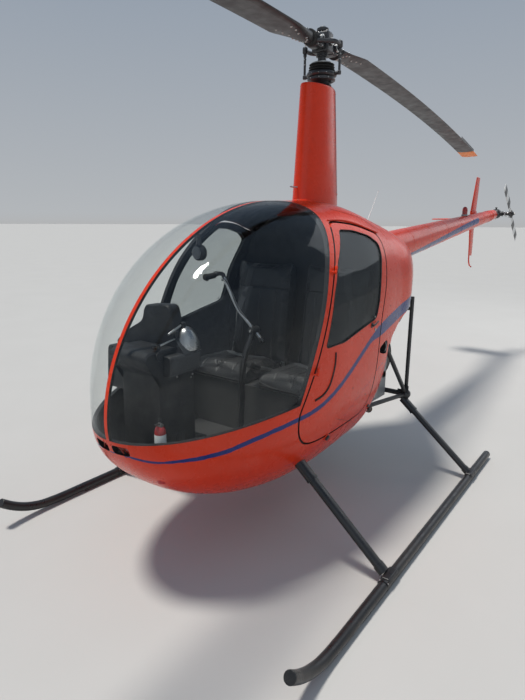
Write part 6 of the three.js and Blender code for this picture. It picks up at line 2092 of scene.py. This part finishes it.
def headParts():
    parts = [pillow((-34, -80, -30), (34, 80, 44), 9), pillow((-52, -38, -44), (52, 38, 62), 11),
             pillow((-46, -30, 52), (46, 30, 66), 5)]
    kinds = [headSteel, headSteel, headSteel]
    for s in (-1, 1):
        parts += [pillow((-36, min(s * 62, s * 130), -38), (36, max(s * 62, s * 130), 40), 13),
                  pillow((-40, min(s * 84, s * 112), -30), (40, max(s * 84, s * 112), 34), 8),
                  lathe([(0, 108), (34, 108), (37, 114), (37, 122), (33, 126), (40, 131), (34, 136), (41, 141),
                         (35, 146), (42, 151), (36, 156), (42, 161), (42, 166), (30, 168), (0, 168)],
                        (0, 0, 0), "y", 36),
                  pipe([(-s * 22, s * 138, -12), (-s * 66, s * 102, -12), (-s * 108, s * 66, -12),
                        (-s * 112, s * 52, -12), (-s * 112, 0, -12)], 11.5, 40, 16),
                  lathe([(0, -17), (12, -17), (15, -13), (15, 13), (12, 17), (0, 17)], (-s * 112, 0, -12), "z", 24),
                  rod((-s * 112, 0, -34), (-s * 112, 0, 12), 6, 6)]
        if s < 0:
            parts[-4] = moved(parts[-4], turn=turnAbout((0, 0, 1), 180))
        kinds += [headSteel, headSteel, rubber, headSteel, headSteel, boltSteel]
        more, moreKinds = boltAcross(60, s * 98, 2, 22)
        parts += more
        kinds += moreKinds
    more, moreKinds = boltAcross(70, 0, 10, 20)
    parts += more
    kinds += moreKinds
    parts += [lathe([(0, -62), (34, -62), (34, -56), (30, -52), (30, 66), (34, 70), (34, 84), (30, 86), (0, 86)],
                    sides=36),
              lathe([(0, 80), (19, 80), (19, 93), (16, 96), (0, 96)], sides=8),
              lathe([(0, mainRotor["gearboxTop"] + 0.5 - mainRotor["hubZ"]),
                     (24, mainRotor["gearboxTop"] + 0.5 - mainRotor["hubZ"]), (24, -50), (0, -50)], sides=36)]
    kinds += [headSteel, boltSteel, headSteel]
    studs = [(x, y, 62) for x in (-40, 40) for y in (-26, 26)]
    studs += [(s * 26, t * 72, 44) for s in (-1, 1) for t in (-1, 1)]
    sides = [(s * 36, t * y, z) for s in (-1, 1) for t in (-1, 1) for y in (72, 122) for z in (-26, 28)]
    parts += [domes(studs, [(0, 0, 1.0)] * len(studs), 6, 0.7),
              domes(sides, [(np.sign(p[0]), 0, 0) for p in sides], 5, 0.7)]
    kinds += [boltSteel, boltSteel]
    return list(zip(kinds, parts))


makePiece("rotorHead", turnedGroups(headParts(), lambda p: setIn(p, mainFrame(0))), "main_rotor", "rotor_head",
          40)


def swashParts():
    # turning ring, a bellows of three folds above it, and a link on each side up to its pitch horn
    bore = 24.7
    ring = lathe([(bore, -172), (78, -172), (82, -169), (88, -163), (88, -157), (84, -150), (80, -146), (62, -144),
                  (bore, -144), (bore, -172)], sides=48)
    turn = np.linspace(0, 3 * 2 * math.pi, 61)
    fold = np.stack([66 - 5.5 * turn / turn[-1] + 7.5 * np.sin(turn - math.pi / 2) + 4, -142 + 44 * turn / turn[-1]],
                    -1)
    cuff = np.vstack([[(bore, -143), (64, -143)], fold, [(58, -96), (52, -92.5), (bore, -92.5), (bore, -143)]])
    bellows = lathe(cuff, sides=48)
    band = lathe([(60, -101), (61.5, -101), (61.5, -96), (60, -96), (60, -101)], sides=40)
    parts, kinds = [ring, bellows, band], [headSteel, rubber, boltSteel]
    for s in (-1, 1):
        parts += [rod((s * 60, 0, -158), (s * 112, 0, -158), 10, 20),
                  lathe([(0, -168), (9, -168), (11, -164), (11, -150), (7, -146), (7, -48), (10, -44), (10, -30),
                         (7, -26), (0, -26)], (s * 112, 0, 0), sides=20),
                  lathe([(0, -92), (9, -92), (9, -86), (0, -86)], (s * 112, 0, 0), sides=6),
                  lathe([(0, -64), (9, -64), (9, -58), (0, -58)], (s * 112, 0, 0), sides=6)]
        kinds += [headSteel, headSteel, boltSteel, boltSteel]
    angle = np.radians(np.arange(15, 375, 30))
    studs = np.stack([85 * np.cos(angle), 85 * np.sin(angle), np.full(12, -160.0)], -1)
    parts.append(domes(studs, studs * (1, 1, 0), 4.5, 0.8))
    kinds.append(boltSteel)
    return list(zip(kinds, parts))


makePiece("swashplate", turnedGroups(swashParts(), lambda p: setIn(p, mainFrame(0))), "main_rotor", "swashplate",
          40)
hubZ = mainRotor["hubZ"]
angle = np.radians(np.arange(10, 370, 40))
studs = np.stack([80.5 * np.cos(angle), 80.5 * np.sin(angle), np.full(9, hubZ - 183.0)], -1)
lowerRing = lathe([(24.7, -229.6), (50, -229.6), (56, -226), (60, -220), (57, -213), (52, -208), (55, -203), (62, -199),
                   (72, -195), (80, -190), (80, -176), (76, -175.6), (24.7, -175.6), (24.7, -229.6)],
                  (0, 0, hubZ), sides=48)
lugs = [pillow((s * 62 - 9, -12, hubZ - 205), (s * 62 + 9, 12, hubZ - 192), 3) for s in (-1, 1)]
makePiece("lowerSwashplate", [(headSteel, lowerRing), (boltSteel, domes(studs, studs - (0, 0, hubZ - 183.0), 4.5, 0.8)),
                              (headSteel, lugs)], "airframe", "lower_swashplate", 40)


def tailPlace(reach, lead, ring):
    return np.stack([ring[:, 0], lead + ring[:, 1], np.full(len(ring), reach)], -1)


tailRows = []
for reach in np.r_[52, 60, 76, 100, 116, 132, 150, np.linspace(190, 533, 12)]:
    chord, thick = rowAt(tailRotor["rows"], reach)
    tailRows.append((reach, -0.3 * chord, chord, thick))
rootBolts = [(s * 10, c, reach) for s in (-1, 1) for reach, c in ((66, 4), (84, 6), (104, 8))]
for half, label in ((0, "Front"), (1, "Aft")):
    where = tailFrame(half)
    boltHeads = domes(rootBolts, [(np.sign(p[0]), 0, 0) for p in rootBolts], 5, 0.6)
    makePiece("tailBlade" + label,
              [(tailBands, setIn(tipped(tailRows, tailPlace, 4), where)), (boltSteel, setIn(boltHeads, where))],
              "tail_rotor", "tail_blade_" + label.lower(), 50,
              {"reach": lambda p, where=where: np.abs(((p - where[1]) @ where[0])[:, 2])})


def tailHubParts():
    # shaft with collars, a yoke block, the drum that the grips pivot on, and the pitch spider's arms
    foot = tailRotor["shaftFoot"]
    shaft = lathe([(0, foot), (15, foot), (17, foot + 3), (17, -50), (22, -48), (22, -38), (17, -36), (17, -28),
                   (24, -26), (30, -22), (30, 22), (24, 26), (17, 28), (17, 34), (14, 40), (0, 40)], (0, 0, 0), "x", 36)
    yoke = pillow((-16, -26, -51), (16, 26, 51), 6)
    spider = [lathe([(18, -74), (27, -74), (29, -71), (29, -62), (27, -59), (18, -59), (18, -74)], (0, 0, 0), "x", 32)]
    spider += [rod((-66, 0, s * 24), (-66, -4, s * 46), 5, 14) for s in (-1, 1)]
    spider += [rod((-66, -4, s * 44), (-14, -20, s * 50), 3.4, 12) for s in (-1, 1)]
    bolt = [rod((-20, 0, s * 40), (20, 0, s * 40), 8, 6) for s in (-1, 1)]
    nut = lathe([(0, 38), (11, 38), (11, 48), (8, 50), (0, 50)], (0, 0, 0), "x", 6)
    return [(headSteel, [shaft, yoke]), (alloy, spider), (boltSteel, bolt + [nut])]


makePiece("tailHub", turnedGroups(tailHubParts(), lambda p: setIn(p, tailFrame(0))), "tail_rotor", "tail_hub",
          40)
print("rotors made")

# fittings on the skin: hinges, handles, seals, seams, fasteners, ducts, lamps and aerial
fit = dict(hinges=[(-678, 1420), (-875, 969)], standOff=13,
           slit=[(-722, 1034), (-724, 990), (-741, 930), (-778, 866), (-815, 842), (-873, 829)],
           dripRail=[(-517, 1649), (-400, 1651), (-293, 1636), (-191, 1610), (-83, 1585)],
           roofSeam=[(-358, 1708), (-251, 1684), (-128, 1659), (-42, 1610)],
           bellySeam=[(-648, 668), (-532, 624), (-376, 563)])


def skinLine(points, out=0.0, count=60):
    # a smooth line through side-view points, laid on the port skin
    line = curveThrough(np.array(points, float), count)
    return onHull(line[:, 0], line[:, 1], out)


def seated(part, place, normal):
    # a part made along +Z set on a place, with its axis along a normal
    normal = unit(normal)
    side = unit(np.cross((0, 1.0, 0), normal))
    return moved(part, place, np.stack([side, np.cross(normal, side), normal], -1))


def onSkin(part, y, z, out=0.0):
    place = onHull(y, z, out)[0]
    return seated(part, place, hullNormal(place[None])[0])


def everySoFar(line, step):
    # points of a line at an even distance
    along = np.r_[0, np.cumsum(np.linalg.norm(np.diff(line, axis=0), axis=1))]
    at = np.arange(step / 2, along[-1], step)
    return np.stack([np.interp(at, along, line[:, k]) for k in range(line.shape[1])], -1)


def heads(line, step, radius, out=0.2, rise=0.4):
    flat = everySoFar(np.asarray(line, float), step)
    places = onHull(flat[:, 0], flat[:, 1], out)
    return domes(places, hullNormal(places), radius, rise, 8)


def hingePin(y, z):
    return np.array((float(hullSide(y, z)) + fit["standOff"], y, z))


pinRun = unit(hingePin(*fit["hinges"][0]) - hingePin(*fit["hinges"][1]))


def hingeHalf(y, z, part):
    # a knuckle on the pin line, an arm down to the skin and a round foot with its screw; part 1 is the post's half
    at = hingePin(y, z)
    low, high = (-18, -0.6) if part > 0 else (0.6, 18)
    middle = at + pinRun * (low + high) / 2
    y1 = middle[1] - 22 * part
    foot = onHull(y1, middle[2], 0.4)[0]
    bar = rod(middle, foot + hullNormal(foot[None])[0] * 2, 4, 18)
    pad = onSkin(lathe([(0, -1), (11, -1), (11, 1.2), (9, 2.4), (0, 2.4)], sides=24), y1, middle[2])
    pin = rod(at + pinRun * (low - 2 if part > 0 else high - 1), at + pinRun * (low + 1 if part > 0 else high + 2), 4.2,
              6)
    return [rod(at + pinRun * low, at + pinRun * high, 7, 28, round=1.2), bar, pad, pin]


def doorFittings():
    # door halves of the hinges, lever handle with its escutcheon, lock, a black line along the door's lower front,
    # window seal and vent knob
    metal = hingeHalf(*fit["hinges"][0], -1) + hingeHalf(*fit["hinges"][1], -1)
    base = onHull(-335, 1108, 0)[0]
    out = hullNormal(base[None])[0]
    metal += [onSkin(lathe([(0, -1), (15, -1), (15, 1.4), (12, 3), (0, 3)], sides=28), -335, 1108),
              rod(base, base + out * 12, 6, 22),
              sweep(np.array([base + out * 10, base + out * 11 + (0, 22, 4), base + out * 10 + (0, 44, 10),
                              base + out * 8 + (0, 62, 14)]),
                    circle(5.4, 16, 0.6), scale=[1.1, 1.0, 0.9, 0.75]),
              onSkin(lathe([(0, -1), (8, -1), (8, 1.8), (6, 2.6), (0, 2.6)], sides=24), -292, 1080),
              onSkin(lathe([(0, -1), (5, -1), (5, 1), (0, 1.4)], sides=16), -300, 1150)]
    # black tube that darkens a line along the lower front of the door
    slit = sweep(skinLine(fit["slit"], 0.4, 50), circle(5.4, 12))
    lip = sweep(skinLine([(y - 7, z - 3) for y, z in fit["slit"]], -0.6, 50), circle(2.0, 8))
    loop = offsetLoop(windowLoop, -0.5)
    seal = sweep(onHull(loop[:, 0], loop[:, 1], -1.2), circle(2.6, 8), closed=True)
    screws = heads(offsetLoop(windowLoop, 11), 78, 2.2)
    return metal, [slit, seal], lip, screws


metal, dark, lip, screws = doorFittings()
metalKinds = [plainRed] * 8 + [gearBlack, headSteel, headSteel, boltSteel, boltSteel]
makePair("doorFittings", list(zip(metalKinds, metal)) + [(rubber, dark), (plainRed, [lip, screws])], "door_")


def shellFittings():
    # what both sides of the fixed shell carry
    metal = hingeHalf(*fit["hinges"][0], 1) + hingeHalf(*fit["hinges"][1], 1)
    rail = skinLine(fit["dripRail"], 3, 60)
    size = 0.7 + 0.5 * np.linspace(0, 1, 60)
    red = [sweep(rail, [(-4, -4), (4, -4), (4, 1), (1, 4.5), (-4, 3)], scale=size)]
    seal = onHull(doorLoop[:, 0], doorLoop[:, 1], -15)
    dark = [sweep(seal, circle(6.5, 8), closed=True)]
    for line in (fit["roofSeam"], fit["bellySeam"]):
        dark.append(sweep(skinLine(line, -0.1, 40), circle(0.9, 6)))
    screws = [heads(shiftLine(postLine, -13), 64, 3.0),
              heads(shiftLine(sillLine, -13)[shiftLine(sillLine, -13)[:, 0] > -1622], 66, 3.0),
              heads([(180, 1112), (470, 1200), (800, 1272)], 78, 4.2), heads([(-600, 520), (-330, 540)], 60, 2.6)]
    for y in (20, 41):
        turn = np.radians(np.arange(-8, 78, 4.6))
        ring = hullPoint(np.full(len(turn), float(y)), turn, -0.2)
        screws.append(domes(ring, hullNormal(ring), 2.5, 0.4, 8))
    knob = [onSkin(lathe([(0, -1), (21, -1), (22, 1), (21, 3), (17, 4), (0, 4)], sides=32), -694, 578),
            onSkin(lathe([(0, 3), (15, 3), (15, 9), (12, 13), (0, 14)], sides=28), -694, 578)]
    latch = [plate(np.array([(125, 1116), (266, 1104), (168, 1046)], float), 3, "x", 506),
             pillow((488, -206, 598), (502, -186, 612), 3), pillow((470, -150, 560), (486, -122, 572), 3)]
    spots = [onSkin(lathe([(0, -0.6), (4.5, -0.6), (4.5, 0.5), (0, 0.7)], sides=16), y, z)
             for y, z in ((-77, 1181), (-514, 803), (-322, 716))]
    return metal, red, dark, screws, knob, latch, spots


metal, red, dark, screws, knob, latch, spots = shellFittings()
shellGroups = [(plainRed, metal + red), (trim, dark[0]), (rubber, dark[1:]), (plainRed, screws[:2]),
               (boltSteel, screws[2]), (plainRed, screws[3:] + knob[:1]), (gearBlack, knob[1]), (frameBlack, latch),
               (rubber, spots)]
makePiece("shellFittings", shellGroups + turnedGroups(shellGroups, flipped))


def frontY(x, z, inset):
    # station where the shell, drawn in by an inset, has this half width at this height: halving between nose and cabin
    low, high = np.full(np.shape(x), hull["noseY"] + inset + 0.5), np.full(np.shape(x), -700.0)
    for _ in range(40):
        middle = (low + high) / 2
        inside = hullSide(middle, z, inset) < x
        low, high = np.where(inside, middle, low), np.where(inside, high, middle)
    return (low + high) / 2


def noseSheet(x0, x1, z0, z1, front, back, cols=14, rows=8):
    # closed slab between two insets behind an opening in the nose
    x, z = np.meshgrid(np.linspace(x0, x1, cols), np.linspace(z0, z1, rows))
    return closedSheets(*[np.stack([x, frontY(x, z, inset), z], -1) for inset in (front, back)])


def landingLamp():
    # tray behind the opening, a round lamp in it with a ribbed red lens, and the thin stay across; tray, lamp bodies
    # and stay take a darker copy of the body red as painted shade inside the opening
    tray = noseSheet(14, 102, 692, 733, 31, 34)
    lamps = []
    for x in (38, 76):
        at = np.array((x, float(frontY(np.array(x), np.array(712.0), 24)), 712.0))
        out = hullNormal(at[None], 24)[0]
        lamps.append(seated(lathe([(0, -6), (16, -6), (17.5, -4), (17.5, 3), (15.5, 4), (0, 4)], sides=32), at, out))
        lamps.append(seated(lathe([(0, 3), (15, 3), (12, 6), (6, 7.6), (0, 8)], sides=32), at, out))
    stay = [(x, float(frontY(np.array(float(x)), np.array(float(z)), 9)), z)
            for x, z in ((46, 730), (56, 714), (64, 696))]
    return tray, lamps, rod(stay[0], stay[2], 2.2, 12)


tray, lamps, stay = landingLamp()
makePair("landingLamp", [(lampShadeRed, tray)] + list(zip([lampShadeRed, lampRed] * 2, lamps)) + [(lampShadeRed, stay)],
         stands="landing_lamp_")


def intakeDuct():
    # the floor dives from the skin to a mouth: depth = 2 + 40 s^2 (3 - 2 s), s from the front point to the mouth
    y, z = np.meshgrid(np.linspace(-207, -93, 26), np.linspace(904, 992, 12), indexing="ij")
    s = np.clip((y + 207) / 100, 0, 1)
    deep = 2 + 40 * s * s * (3 - 2 * s)
    dive = closedSheets(*[np.stack([hullSide(y, z) - deep - d, y, z], -1) for d in (0, 3)])
    skin = float(hullSide(-101.0, 948.0))
    # black block across the mouth: painted shade of the hole behind it
    throat = pillow((skin - 44, -102, 908), (skin - 1, -92, 988), 1.5)
    rim = hoop((skin - 21, -103.0, 948), 21, circle(2.0, 8), 60, 36)
    mesh = [rod((skin - 42, -102.5, q), (skin - 4, -102.5, q), 0.9, 6) for q in range(920, 980, 8)]
    return [dive, throat, rim] + mesh


duct = intakeDuct()
# the near-black floor and the black throat are painted shade inside the duct
makePair("intakeDuct", [(trim, duct[0]), (rubber, duct[1]), (alloy, duct[2]), (frameBlack, duct[3:])],
         stands="intake_duct_")

aerialFoot = lathe([(0, -6), (15, -6), (15, 0), (11, 3), (10, 22), (7, 30), (5, 33), (0, 33)], (0, 657, 1586), sides=28)
whip = [pipe([(0, 662, 1604), (0, 745, 1706), (0, 862, 1868)], 3.4, 40, 12, np.linspace(1, 0.6, 40)),
        lathe([(0, -4), (3.4, -4), (3.8, 0), (3.4, 4), (0, 4)], (0, 862, 1866), sides=14)]
makePiece("cowlAntenna", [(gearBlack, aerialFoot), (whiteSleeve, whip)], stands="cowl_antenna")
print("fittings made")
